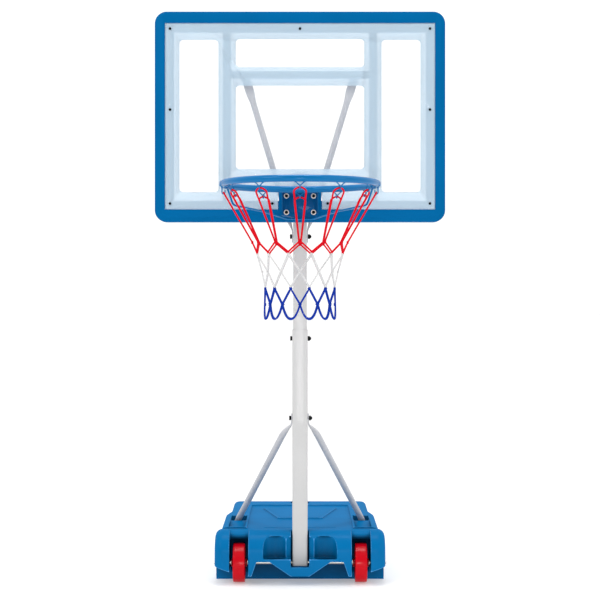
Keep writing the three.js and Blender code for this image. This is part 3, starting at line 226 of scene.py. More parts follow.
@dataclass(frozen=True)
class Finish:
    """A surface whose tone and gloss wander in clouds.

    Attributes:
        name: Name of the material.
        slot: The record's slot that it fills, if any.
        colour: Middle tone.
        roughness: Middle roughness.
        wander: How far the tone goes from its middle.
        shine: Strength of the reflection seen square on.
        shine_tint: Tint of that reflection.
        coat: Weight of a clear coat over it.
        stretch: Stretch of the clouds along each axis.
        cloud: Scale and detail of the clouds in its tone.
        sheen: Scale and detail of the clouds in its gloss.
        reach: How far the roughness goes from its middle.
        layers: Scale, detail, depth and strength of each layer of bumps.
        extra: Other values that are the same all over, by the shader's socket.
    """

    name: str
    slot: Slot | None
    colour: Triple
    roughness: float
    metallic: float = 0.0
    wander: float = 0.05
    shine: float = 0.5
    shine_tint: Triple = (1.0, 1.0, 1.0)
    coat: float = 0.0
    coat_roughness: float = 0.03
    stretch: Triple = (1, 1, 1)
    cloud: Flat = (9.0, 3)
    sheen: Flat = (60.0, 3)
    reach: float = 0.05
    layers: tuple[Quad, ...] = ()
    extra: tuple[tuple[str, object], ...] = ()

    @cache
    def material(self) -> bpy.types.Material:
        """Makes the material once and hands it out."""
        made = bpy.data.materials.new(self.name)
        made.use_nodes = True
        bench = Bench(made.node_tree)
        bench.tree.nodes.clear()
        inputs = {"Metallic": self.metallic, "Specular IOR Level": self.shine, "Coat Weight": self.coat}
        inputs.update({"Specular Tint": (*self.shine_tint, 1), "Coat Roughness": self.coat_roughness})
        inputs.update(self.extra)
        inputs.update(self.dress(bench, bench.object_place(self.stretch)))
        shader = bench.add("ShaderNodeBsdfPrincipled", inputs)
        bench.add("ShaderNodeOutputMaterial", {"Surface": shader.outputs[0]})
        return made

    def tones(self) -> tuple[Triple, Triple]:
        """The darker and the lighter tone of the colour."""
        dark = tuple(c * (1 - self.wander) for c in self.colour)
        light = tuple(min(1.0, c * (1 + self.wander)) for c in self.colour)
        return dark, light

    def tone(self, bench: Bench, place: Socket) -> Socket:
        """Colour in clouds between the two tones."""
        return bench.blend(bench.spread(bench.noise(place, *self.cloud), CLOUD_SPAN, (0, 1)), *self.tones())

    def gloss(self, bench: Bench, cloud: Socket) -> Socket:
        """Roughness that follows a cloud."""
        return bench.spread(cloud, CLOUD_SPAN, (self.roughness - self.reach, self.roughness + self.reach))

    def relief(self, bench: Bench, place: Socket) -> dict[str, Socket]:
        """The normal of all layers of bumps, if there are any."""
        normal = None
        for scale, detail, depth, strength in self.layers:
            normal = bench.bump(bench.noise(place, scale, detail), depth, strength, normal)
        return {} if normal is None else {"Normal": normal}

    def dress(self, bench: Bench, place: Socket) -> dict[str, Socket]:
        """Gives the shader its colour, gloss and relief.

        Args:
            bench: Where the nodes are placed.
            place: The place on the object.

        Returns:
            What changes over the surface, by the shader's socket.
        """
        gloss = self.gloss(bench, bench.noise(place, *self.sheen))
        return {"Base Color": self.tone(bench, place), "Roughness": gloss, **self.relief(bench, place)}


@dataclass(frozen=True)
class MouldedPlastic(Finish):
    """Blow-moulded or injected plastic: fine leathery grain, painted highlight on rubbed edges, painted shade
    in hollows.
    """

    coat_roughness: float = 0.3
    cloud: Flat = (6.0, 4)
    sheen: Flat = (34.0, 3)
    grain: float = 520.0
    grain_depth: float = 0.00012
    grain_strength: float = 0.7
    swell: float = 26.0
    swell_depth: float = 0.00015
    swell_strength: float = 0.5
    # Edges lighten with pointiness: a painted highlight on convex edges, along with a little rubbed wear.
    edge_light: float = 0.0
    edge_pale: float = 0.05
    edge_points: Flat = (0.525, 0.57)
    seam_z: float | None = None
    seam_half: float = 0.0009
    seam_depth: float = 0.0004
    seam_strength: float = 0.6
    # Painted shade: an ambient occlusion mask darkens hollows, ahead of an end along Y.
    shade_reach: float = 0.0
    shade_tone: float = 0.26
    shade_span: Flat = (0.55, 0.95)
    shade_end: float = 0.0
    shade_fade: float = 0.03
    shade_back: float = 0.55
    samples: int = 8

    def tone(self, bench: Bench, place: Socket) -> Socket:
        """Clouds with painted highlights on rubbed edges, and painted shade in hollows ahead of their end."""
        _, light = self.tones()
        # Painted highlight: convex edges, found by pointiness, blend towards a paler tone, with a little rubbed
        # wear.
        edge_highlight_and_wear = tuple(
            min(1.0, mix(c, 1, self.edge_pale * self.edge_light) * (1 + self.edge_light)) for c in light)
        point = bench.add("ShaderNodeNewGeometry").outputs["Pointiness"]
        highlit_and_worn = bench.blend(bench.spread(point, self.edge_points, (0, 1)), super().tone(bench, place), edge_highlight_and_wear)
        if not self.shade_reach:
            return highlit_and_worn
        # Painted shade: ambient occlusion darkens the colour in hollows, and less of it is kept behind the end
        # along Y.
        reach = {"Distance": self.shade_reach}
        free = bench.add(
            "ShaderNodeAmbientOcclusion", reach, samples=self.samples, only_local=True).outputs["AO"]
        fade = (self.shade_end, self.shade_end + self.shade_fade)
        behind = bench.spread(bench.along(place, "Y"), fade, (0, self.shade_back))
        shade_of = bench.math("MAXIMUM", bench.spread(free, self.shade_span, (self.shade_tone, 1)), behind)
        return bench.blend(1.0, highlit_and_worn, shade_of, "MULTIPLY")

    def relief(self, bench: Bench, place: Socket) -> dict[str, Socket]:
        """Slow waves, a fine grain and a mould seam."""
        waves = bench.bump(bench.noise(place, self.swell, 2), self.swell_depth, self.swell_strength)
        normal = bench.bump(bench.noise(place, self.grain, 4), self.grain_depth, self.grain_strength, waves)
        if self.seam_z is not None:
            away = bench.math("ABSOLUTE", bench.math("SUBTRACT", bench.along(place, "Z"), self.seam_z))
            ridge = bench.spread(away, (0, self.seam_half), (1, 0))
            normal = bench.bump(ridge, self.seam_depth, self.seam_strength, normal)
        return {"Normal": normal}


@dataclass(frozen=True)
class PowderCoat(Finish):
    """Powder coat on steel: even, with a fine orange peel under a thin clear coat."""

    coat: float = 0.15
    reach: float = 0.04
    layers: tuple[Quad, ...] = ((420.0, 2, 0.00006, 0.8),)


@dataclass(frozen=True)
class PlatedSteel(Finish):
    """Plated or blackened steel with drawn lines along one axis."""

    metallic: float = 1.0
    cloud: Flat = (160.0, 3)
    reach: float = 0.09
    draw: Triple = (30.0, 900.0, 900.0)
    line_depth: float = 0.00003
    line_strength: float = 0.6

    def dress(self, bench: Bench, place: Socket) -> dict[str, Socket]:
        """Drawn lines in gloss and relief over a cloudy tone."""
        lines = bench.noise(bench.object_place(self.draw), 1.0, 4)
        normal = bench.bump(lines, self.line_depth, self.line_strength)
        return {"Base Color": self.tone(bench, place), "Roughness": self.gloss(bench, lines), "Normal": normal}


@dataclass(frozen=True)
class Rubber(Finish):
    """Soft rubber with a dusty bloom and a fine skin."""

    cloud: Flat = (90.0, 3)
    sheen: Flat = (200.0, 3)
    layers: tuple[Quad, ...] = ((900.0, 3, 0.00005, 1),)


@dataclass(frozen=True)
class ClearSheet(Finish):
    """Clear plastic sheet whose gloss wanders with faint smears."""

    wander: float = 0.01
    stretch: Triple = (1, 1, 2.5)
    cloud: Flat = (4.0, 3)
    sheen: Flat = (7.0, 5)
    reach: float = 0.03
    layers: tuple[Quad, ...] = ((2.0, 3, 0.0004, 0.2),)
    extra: tuple[tuple[str, object], ...] = (("Alpha", 0.06),)


@dataclass(frozen=True)
class FrostedPrint(Finish):
    """Frosted screen print: a milky film with a fine dot in its relief."""

    wander: float = 0.02
    cloud: Flat = (5.0, 5)
    sheen: Flat = (40.0, 3)
    dot: float = 760.0
    dot_depth: float = 0.00004
    dot_strength: float = 0.5
    extra: tuple[tuple[str, object], ...] = (("Alpha", 0.58),)

    def relief(self, bench: Bench, place: Socket) -> dict[str, Socket]:
        """The dots of the print."""
        dots = bench.add("ShaderNodeTexVoronoi", {"Vector": place, "Scale": self.dot}).outputs["Distance"]
        return {"Normal": bench.bump(dots, self.dot_depth, self.dot_strength)}


@dataclass(frozen=True)
class Cordage(Finish):
    """Laid cord whose strands turn round it, read from the cord's own attribute."""

    attribute: str = "strand"
    strands: int = 3
    lay: float = 0.009
    depth: float = 0.0004
    strength: float = 0.8
    groove: Flat = (-1, 0.2)
    fibre_depth: float = 0.00008
    fibre_strength: float = 0.5
    sheen: Flat = (2600.0, 2)

    def dress(self, bench: Bench, place: Socket) -> dict[str, Socket]:
        """Strands in relief, with painted shade in the grooves between them and fine fibres along them."""
        reading = bench.add("ShaderNodeAttribute", attribute_name=self.attribute)
        parts = bench.add("ShaderNodeSeparateXYZ", {0: reading.outputs["Vector"]}).outputs
        angle = bench.math("MULTIPLY", bench.math("ARCTAN2", parts[1], parts[0]), float(self.strands))
        along = bench.math("MULTIPLY", parts[2], 2 * math.pi * self.strands / self.lay)
        wave = bench.math("SINE", bench.math("ADD", angle, along))
        groove = bench.spread(wave, self.groove, (0, 1))
        fibres = bench.noise(place, *self.sheen)
        strands = bench.bump(groove, self.depth, self.strength)
        normal = bench.bump(fibres, self.fibre_depth, self.fibre_strength, strands)
        # Painted shade: the tone darkens in the grooves between strands.
        return {"Base Color": bench.blend(groove, *self.tones()), "Roughness": self.gloss(bench, fibres),
                "Normal": normal}


SKY_TINT = hue("6cb8ff")
GLOW = (("Emission Color", (1, 1, 1, 1)), ("Emission Strength", 0.31))

# The tank carries painted highlights on its edges and painted shade in its front hollows.
TANK_BLUE = MouldedPlastic(
    "tank_blue", Slot.TANK, hue("026ba5"), 0.36, swell_depth=0.00006, seam_z=0.083, shine=0.0, coat=0.1,
    edge_light=1.3, shade_reach=0.07, shade_end=MAST_Y)
FRAME_BLUE = MouldedPlastic(
    "frame_blue", Slot.FRAME, hue("015f97"), 0.42, grain=800.0, shine=0.1, shine_tint=SKY_TINT)
RIM_BLUE = PowderCoat("rim_blue", Slot.RIM, hue("0468a2"), 0.18, coat=0.22, shine=0.25, shine_tint=SKY_TINT)
BRACKET_BLUE = PowderCoat(
    "bracket_blue", Slot.RIM, hue("045890"), 0.32, coat=0.1, shine=0.1, shine_tint=SKY_TINT)
POLE_GREY = PowderCoat("pole_grey", Slot.POLE, hue("c5c5c5"), 0.38, wander=0.02, shine=0.3)
# The braces wear the poles' paint, darkened here as painted shade.
SHADED_BRACE_GREY = PowderCoat("brace_grey", Slot.POLE, hue("b2b4ba"), 0.3, wander=0.04)
ZINC = PlatedSteel("zinc_plate", Slot.ZINC, hue("c3c1bc"), 0.32)
DARK_STEEL = PlatedSteel("blackened_steel", Slot.DARK_STEEL, hue("18191b"), 0.42, shine=0.3)
BLACK_PLASTIC = MouldedPlastic("black_plastic", Slot.CAP, hue("141518"), 0.45, grain=900.0, shine=0.3)
SEAL_RUBBER = Rubber("seal_rubber", Slot.SEAL, hue("242527"), 0.8)
WHEEL_RED = MouldedPlastic(
    "wheel_red", Slot.WHEEL, hue("c20116"), 0.13, grain=700.0, grain_depth=0.00005, shine=0.08, coat=0.12)
CLEAR_SHEET = ClearSheet("clear_sheet", Slot.SHEET, hue("eef4fb"), 0.06)
SHEET_EDGE = ClearSheet("sheet_edge", Slot.SHEET, hue("f2f8ff"), 0.12, wander=0.02, extra=(("Alpha", 0.8),))
FROSTED = FrostedPrint("milky_print", Slot.SHEET, hue("c5deef"), 0.5)
CORD_RED = Cordage("red_cordage", Slot.CORD_RED, hue("d0041a"), 0.7, wander=0.18, shine=0.1)
CORD_WHITE = Cordage("white_cordage", Slot.CORD_WHITE, hue("d2d2d2"), 0.75, wander=0.06, shine=0.15)
CORD_BLUE = Cordage("blue_cordage", Slot.CORD_BLUE, hue("06309a"), 0.7, wander=0.2, shine=0.1)
FLOOR = Finish(
    "studio_floor", None, hue("dadada"), 0.6, wander=0.004, shine=0.1, cloud=(0.8, 3), sheen=(3.0, 3),
    reach=0.03, extra=GLOW)


# Meshes


def linked(name: str, mesh: bpy.types.Mesh) -> Piece:
    """Puts a mesh in the scene as a piece at the origin."""
    piece = bpy.data.objects.new(name, mesh)
    bpy.context.scene.collection.objects.link(piece)
    return piece


def new_piece(name: str, bench: bmesh.types.BMesh, smooth: float = PLAIN) -> Piece:
    """Turns a bmesh into a piece with outward faces.

    Args:
        name: Name of the piece.
        bench: The closed mesh, which is freed.
        smooth: Edges past this angle in degrees stay sharp.

    Returns:
        The piece, at the origin.
    """
    bmesh.ops.remove_doubles(bench, verts=bench.verts, dist=MERGED)
    bmesh.ops.recalc_face_normals(bench, faces=bench.faces)
    mesh = bpy.data.meshes.new(name)
    bench.to_mesh(mesh)
    bench.free()
    return shade(linked(name, mesh), smooth)


def shade(piece: Piece, smooth: float = PLAIN) -> Piece:
    """Shades a piece smooth up to an angle in degrees."""
    piece.data.shade_smooth()
    piece.data.set_sharp_from_angle(angle=math.radians(smooth))
    return piece


def drop(piece: Piece) -> None:
    """Removes a helper piece and its mesh."""
    mesh = piece.data
    bpy.data.objects.remove(piece)
    bpy.data.meshes.remove(mesh)


def modify(piece: Piece, kind: str, **settings: object) -> bpy.types.Modifier:
    """Puts a modifier with its settings on a piece."""
    step = piece.modifiers.new(kind.lower(), kind)
    for name, value in settings.items():
        setattr(step, name, value)
    return step


def settle(piece: Piece) -> Piece:
    """Turns a piece's modifiers into its mesh."""
    graph = bpy.context.evaluated_depsgraph_get()
    made = bpy.data.meshes.new_from_object(piece.evaluated_get(graph))
    piece.modifiers.clear()
    old = piece.data
    piece.data = made
    made.name = piece.name
    bpy.data.meshes.remove(old)
    return piece


def carve(piece: Piece, tools: Iterable[Piece], way: Carve = Carve.TAKE) -> Piece:
    """Changes a piece by other solids.

    Args:
        piece: The solid that changes.
        tools: The solids that are used up.
        way: Whether they are taken away, added or all that is kept.

    Returns:
        The changed piece.
    """
    used = list(tools)
    for tool in used:
        modify(piece, "BOOLEAN", operation=way.value, object=tool, solver="MANIFOLD")
    settle(piece)
    for tool in used:
        drop(tool)
    return piece


def soften(piece: Piece, width: float, segments: int = 2, angle: float = 40.0) -> Piece:
    """Rounds a piece's edges past an angle in degrees."""
    limit = math.radians(angle)
    modify(piece, "BEVEL", width=width, segments=segments, limit_method="ANGLE", angle_limit=limit)
    return shade(settle(piece), FIRM)


def oval(centre: Flat, reach: Flat, start: float, end: float, steps: int) -> list[Flat]:
    """Points on an ellipse between two angles in degrees, both ends included."""
    angles = [math.radians(mix(start, end, step / steps)) for step in range(steps + 1)]
    return [(centre[0] + reach[0] * math.cos(a), centre[1] + reach[1] * math.sin(a)) for a in angles]


def arc(centre: Flat, radius: float, start: float, end: float, steps: int) -> list[Flat]:
    """Points on a circle between two angles in degrees, both ends included."""
    return oval(centre, (radius, radius), start, end, steps)


def around(count: int, radius: float, shift: float = 0.0) -> list[Vector]:
    """Even places on a level circle round the origin."""
    angles = [2 * math.pi * (number + shift) / count for number in range(count)]
    return [Vector((math.cos(angle), math.sin(angle), 0)) * radius for angle in angles]


def rounded(low: Flat, high: Flat, corner: float, steps: int = 8) -> list[Flat]:
    """Rectangle between two corners with rounded corners."""
    inner = [(high[0] - corner, low[1] + corner), (high[0] - corner, high[1] - corner)]
    inner += [(low[0] + corner, high[1] - corner), (low[0] + corner, low[1] + corner)]
    points = []
    for number, centre in enumerate(inner):
        points += arc(centre, corner, 90 * number - 90, 90 * number, steps)
    return points


AXES = {
    "X": lambda u, v, w: Vector((w, u, v)),
    "Y": lambda u, v, w: Vector((u, w, v)),
    "Z": lambda u, v, w: Vector((u, v, w)),
}


def prism(
    points: Sequence[Flat], axis: str, low: float, high: float, edge: float = 0.0, steps: int = 5
) -> Piece:
    """Outline drawn out along an axis.

    Args:
        points: Outline in the two other axes.
        axis: X, Y or Z.
        low: Where the prism starts.
        high: Where it ends.
        edge: Rounding of the two end edges.
        steps: Facets on that rounding.

    Returns:
        The closed prism.
    """
    bench = bmesh.new()
    rows = [[bench.verts.new(AXES[axis](u, v, w)) for u, v in points] for w in (low, high)]
    caps = [bench.faces.new(rows[0]), bench.faces.new(rows[1])]
    for number in range(len(points)):
        after = (number + 1) % len(points)
        bench.faces.new((rows[0][number], rows[0][after], rows[1][after], rows[1][number]))
    if edge > 0:
        edges = [line for cap in caps for line in cap.edges]
        bmesh.ops.bevel(bench, geom=edges, offset=edge, segments=steps, profile=0.5, affect="EDGES")
    return new_piece("prism", bench)


def crowned(
    outline_at: Callable[[float], list[Flat]], axis: str, low: float, high: float, edge: float,
    both: bool = False, steps: int = 8,
) -> Piece:
    """Prism whose far end, or both ends, are rounded.

    Args:
        outline_at: Outline, drawn in from its sides by an inset.
        axis: X, Y or Z.
        low: Where the prism starts.
        high: Where it ends.
        edge: Rounding at that end.
        both: Whether the start is rounded too.
        steps: Facets on the rounding.

    Returns:
        The closed prism.
    """
    angles = [math.radians(90 * step / steps) for step in range(steps + 1)]
    turn = [(edge * (1 - math.sin(angle)), edge * (1 - math.cos(angle))) for angle in angles]
    rows = [(low + w, inset) for w, inset in reversed(turn)] if both else [(low, 0.0)]
    rows += [(high - w, inset) for w, inset in turn]
    loops = [[AXES[axis](u, v, w) for u, v in outline_at(inset)] for w, inset in rows]
    return new_piece("crowned", loft(loops))


def block(low: Sequence[float], high: Sequence[float]) -> Piece:
    """Box between two corners."""
    outline = [(low[0], low[1]), (high[0], low[1]), (high[0], high[1]), (low[0], high[1])]
    return prism(outline, "Z", low[2], high[2])


def loft(
    loops: Sequence[Sequence[Vector]], endless: bool = False, open_sides: bool = False
) -> bmesh.types.BMesh:
    """Mesh through a row of equal loops.

    Args:
        loops: The points of each loop.
        endless: Whether the last loop joins the first, in place of two flat ends.
        open_sides: Whether each loop is a line whose ends aren't joined.

    Returns:
        The mesh.
    """
    bench = bmesh.new()
    rows = [[bench.verts.new(point) for point in loop] for loop in loops]
    sides = len(rows[0])
    for number in range(len(rows) if endless else len(rows) - 1):
        ahead = rows[(number + 1) % len(rows)]
        for side in range(sides - open_sides):
            turn = (side + 1) % sides
            bench.faces.new((rows[number][side], rows[number][turn], ahead[turn], ahead[side]))
    if not endless:
        bench.faces.new(rows[0])
        bench.faces.new(rows[-1])
    return bench


def aim(direction: Vector, spin: float = 0.0) -> Quaternion:
    """Turn that points +Z in a direction, after a spin about +Z in degrees."""
    return direction.to_track_quat("Z", "Y") @ Quaternion(UP, math.radians(spin))


def turned(
    name: str, profile: Sequence[Flat], at: Vector = Vector(), direction: Vector = UP, facets: int = 48,
    closed: bool = False,
) -> Piece:
    """Turned piece.

    Args:
        name: Name of the piece.
        profile: Radius and height of each point. A closed profile is a ring.
        at: Where its height zero lies.
        direction: Which way its height grows.
        facets: Facets round it.
        closed: Whether the profile closes on itself clear of the axis.

    Returns:
        The closed piece.
    """
    turn = aim(direction)
    loops = [
        [at + turn @ (spin * radius + UP * height) for radius, height in profile]
        for spin in around(facets, 1)]
    bench = loft(loops, endless=True, open_sides=not closed)
    bmesh.ops.remove_doubles(bench, verts=bench.verts, dist=POLES_MERGED)
    bmesh.ops.dissolve_degenerate(bench, dist=POLES_MERGED, edges=bench.edges)
    return new_piece(name, bench)


def rod(start: Vector, end: Vector, radius: float, facets: int = 32) -> Piece:
    """Round bar between two places."""
    line = end - start
    profile = [(0, 0), (radius, 0), (radius, line.length), (0, line.length)]
    return turned("rod", profile, start, line.normalized(), facets)


def cross_rod(reach: float, height: float, radius: float) -> Piece:
    """Round bar across the mast's axis at a height."""
    return rod(*[Vector((side * reach, MAST_Y, height)) for side in (-1, 1)], radius)


def through_rod(x: float, z: float, radius: float, reach: Flat) -> Piece:
    """Round bar along Y at a place in X and Z."""
    return rod(*[Vector((x, y, z)) for y in reach], radius, 24)


def smooth_corner(before: Vector, corner: Vector, after: Vector, bend: float, steps: int) -> list[Vector]:
    """Rounded bend that starts bend short of a corner between two places."""
    start = corner + (before - corner).normalized() * bend
    end = corner + (after - corner).normalized() * bend
    shares = [step / steps for step in range(steps + 1)]
    return [start.lerp(corner, share).lerp(corner.lerp(end, share), share) for share in shares]


def bent(points: Sequence[Vector], bend: float, steps: int = 8) -> list[Vector]:
    """Straight runs between points, with rounded bends that start bend short of each corner."""
    path = [points[0]]
    for three in zip(points, points[1:], points[2:]):
        path += smooth_corner(*three, bend, steps)
    return [*path, points[-1]]


def curved(points: Sequence[Vector], steps: int) -> list[Vector]:
    """Smooth curve through points, with steps between each two."""
    path = []
    last = len(points) - 1
    for number in range(last):
        before, start, end, after = (points[min(max(number + shift, 0), last)] for shift in (-1, 0, 1, 2))
        for step in range(steps):
            t = step / steps
            path.append(0.5 * (
                2 * start + (end - before) * t + (2 * before - 5 * start + 4 * end - after) * t * t
                + (3 * start - before - 3 * end + after) * t ** 3))
    return [*path, points[-1]]


# Geometry node trees


class NodeRig:
    """A geometry node tree with named inputs, run on pieces that it turns into plain meshes."""

    name = "rig"
    inputs: dict[str, str] = {}

    def __init__(self) -> None:
        """Builds the tree: its geometry in, what the rig makes of it, and its geometry out."""
        self.tree = bpy.data.node_groups.new(self.name, "GeometryNodeTree")
        self.bench = Bench(self.tree)
        face = self.tree.interface
        for way in ("INPUT", "OUTPUT"):
            face.new_socket(name="Geometry", in_out=way, socket_type="NodeSocketGeometry")
        self.sockets = {
            name: face.new_socket(name=name, in_out="INPUT", socket_type=f"NodeSocket{kind}").identifier
            for name, kind in {"Material": "Material", **self.inputs}.items()
        }
        self.source = self.bench.add("NodeGroupInput").outputs
        real = self.bench.add("GeometryNodeRealizeInstances", {"Geometry": self.build()})
        inputs = {"Geometry": real.outputs[0], "Material": self.source["Material"]}
        dressed = self.bench.add("GeometryNodeSetMaterial", inputs)
        self.bench.add("NodeGroupOutput", {0: dressed.outputs[0]})

    def build(self) -> Socket:
        """Builds the tree and hands out its geometry."""
        raise NotImplementedError

    def run(self, piece: Piece, finish: Finish, **values: object) -> Piece:
        """Runs the tree on a piece.

        Args:
            piece: The piece with the path or the places.
            finish: What the mesh is finished with.
            values: A value for each other input.

        Returns:
            The piece as a plain mesh.
        """
        step = modify(piece, "NODES", node_group=self.tree)
        for name, value in {"Material": finish.material(), **values}.items():
            step[self.sockets[name]] = value
        return settle(piece)


class CordRig(NodeRig):
    """Round cord or wire along the edges of a piece, with its strand attribute."""

    name = "cord_rig"
    inputs = {"Radius": "Float", "Facets": "Int"}

    def build(self) -> Socket:
        """Sweeps a circle along each path and stores where each point lies on the cord."""
        add, source = self.bench.add, self.source

        def captured(shape: Socket, name: str, share: str) -> Sequence[Socket]:
            """Geometry that keeps each point's share of its spline."""
            node = add("GeometryNodeCaptureAttribute", {0: shape})
            node.capture_items.new("FLOAT", name)
            self.tree.links.new(add("GeometryNodeSplineParameter").outputs[share], node.inputs[1])
            return node.outputs

        along = captured(add("GeometryNodeMeshToCurve", {0: source["Geometry"]}).outputs[0], "Along", "Length")
        inputs = {"Resolution": source["Facets"], "Radius": source["Radius"]}
        ring = captured(add("GeometryNodeCurvePrimitiveCircle", inputs).outputs[0], "Round", "Factor")
        swept = add("GeometryNodeCurveToMesh", {"Curve": along[0], "Profile Curve": ring[0], "Fill Caps": True})
        angle = self.bench.math("MULTIPLY", ring[1], 2 * math.pi)
        parts = {0: self.bench.math("COSINE", angle), 1: self.bench.math("SINE", angle), 2: along[1]}
        reading = add("ShaderNodeCombineXYZ", parts)
        inputs = {"Geometry": swept.outputs[0], "Name": "strand", "Value": reading.outputs[0]}
        stored = add("GeometryNodeStoreNamedAttribute", inputs, data_type="FLOAT_VECTOR", domain="POINT")
        return add("GeometryNodeSetShadeSmooth", {0: stored.outputs[0]}).outputs[0]


class SpreadRig(NodeRig):
    """Copies of a small piece at places, each with a turn of its own."""

    name = "spread_rig"
    inputs = {"Copy": "Object"}

    def build(self) -> Socket:
        """Puts a copy on each point, turned by the point's attribute."""
        add = self.bench.add
        points = add("GeometryNodeMeshToPoints", {0: self.source["Geometry"]})
        copy = add("GeometryNodeObjectInfo", {"Object": self.source["Copy"]}, transform_space="ORIGINAL")
        turn = add("GeometryNodeInputNamedAttribute", {"Name": "turn"}, data_type="FLOAT_VECTOR")
        spin = add("FunctionNodeEulerToRotation", {0: turn.outputs[0]})
        inputs = {
            "Points": points.outputs[0], "Instance": copy.outputs["Geometry"], "Rotation": spin.outputs[0]}
        return add("GeometryNodeInstanceOnPoints", inputs).outputs[0]


@dataclass
class Rigs:
    """The geometry node trees, made once."""

    cord: CordRig = field(default_factory=CordRig)
    spread: SpreadRig = field(default_factory=SpreadRig)

    def wires(
        self, name: str, paths: Sequence[Sequence[Vector]], radius: float, finish: Finish, facets: int = 10,
        endless: bool = False,
    ) -> Piece:
        """Round wires or cords along paths.

        Args:
            name: Name of the piece.
            paths: The points of each path.
            radius: Radius of the wire.
            finish: Its finish.
            facets: Facets round it.
            endless: Whether each path closes on itself.

        Returns:
            One mesh with every wire.
        """
        points, lines = [], []
        for path in paths:
            first = len(points)
            points += path
            lines += [(number, number + 1) for number in range(first, len(points) - 1)]
            if endless:
                lines.append((len(points) - 1, first))
        mesh = bpy.data.meshes.new(name)
        mesh.from_pydata(points, lines, [])
        return self.cord.run(linked(name, mesh), finish, Radius=radius, Facets=facets)

    def copies(self, name: str, small: Piece, places: Places, finish: Finish) -> Piece:
        """Copies of a small piece.

        Args:
            name: Name of the new piece.
            small: The piece to copy, made round the origin and used up.
            places: Where each copy lies and how it is turned.
            finish: Their finish.

        Returns:
            One mesh with every copy.
        """
        mesh = bpy.data.meshes.new(name)
        mesh.from_pydata([at for at, _ in places], [], [])
        turns = mesh.attributes.new("turn", "FLOAT_VECTOR", "POINT")
        for number, (_, turn) in enumerate(places):
            turns.data[number].vector = turn.to_euler()
        piece = self.spread.run(linked(name, mesh), finish, Copy=small)
        drop(small)
        return piece


def fit(piece: Piece, name: str, finish: Finish, body: Body, *nodes: str) -> Piece:
    """Finishes a piece and seats it in the frame.

    Args:
        piece: The finished mesh.
        name: Its name.
        finish: Its finish.
        body: The body that it moves with.
        nodes: The nodes that it stands for.

    Returns:
        The piece.
    """
    piece.name = piece.data.name = name
    held = piece.data.materials
    if not held:
        held.append(finish.material())
    for number, material in enumerate(held):
        held[number] = material or finish.material()
    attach(piece, body.value)
    if nodes:
        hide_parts(*nodes)
    log.info("%s: %d faces, %s", name, len(piece.data.polygons), finish.name)
    return piece


def refinish(frame: dict, finish: Finish, *nodes: str) -> None:
    """Gives carried-over nodes a finish."""
    for name in nodes:
        node = frame["nodes"][name]
        node.data.materials.clear()
        node.data.materials.append(finish.material())
        log.info("%s: kept, %s", name, finish.name)


# Base


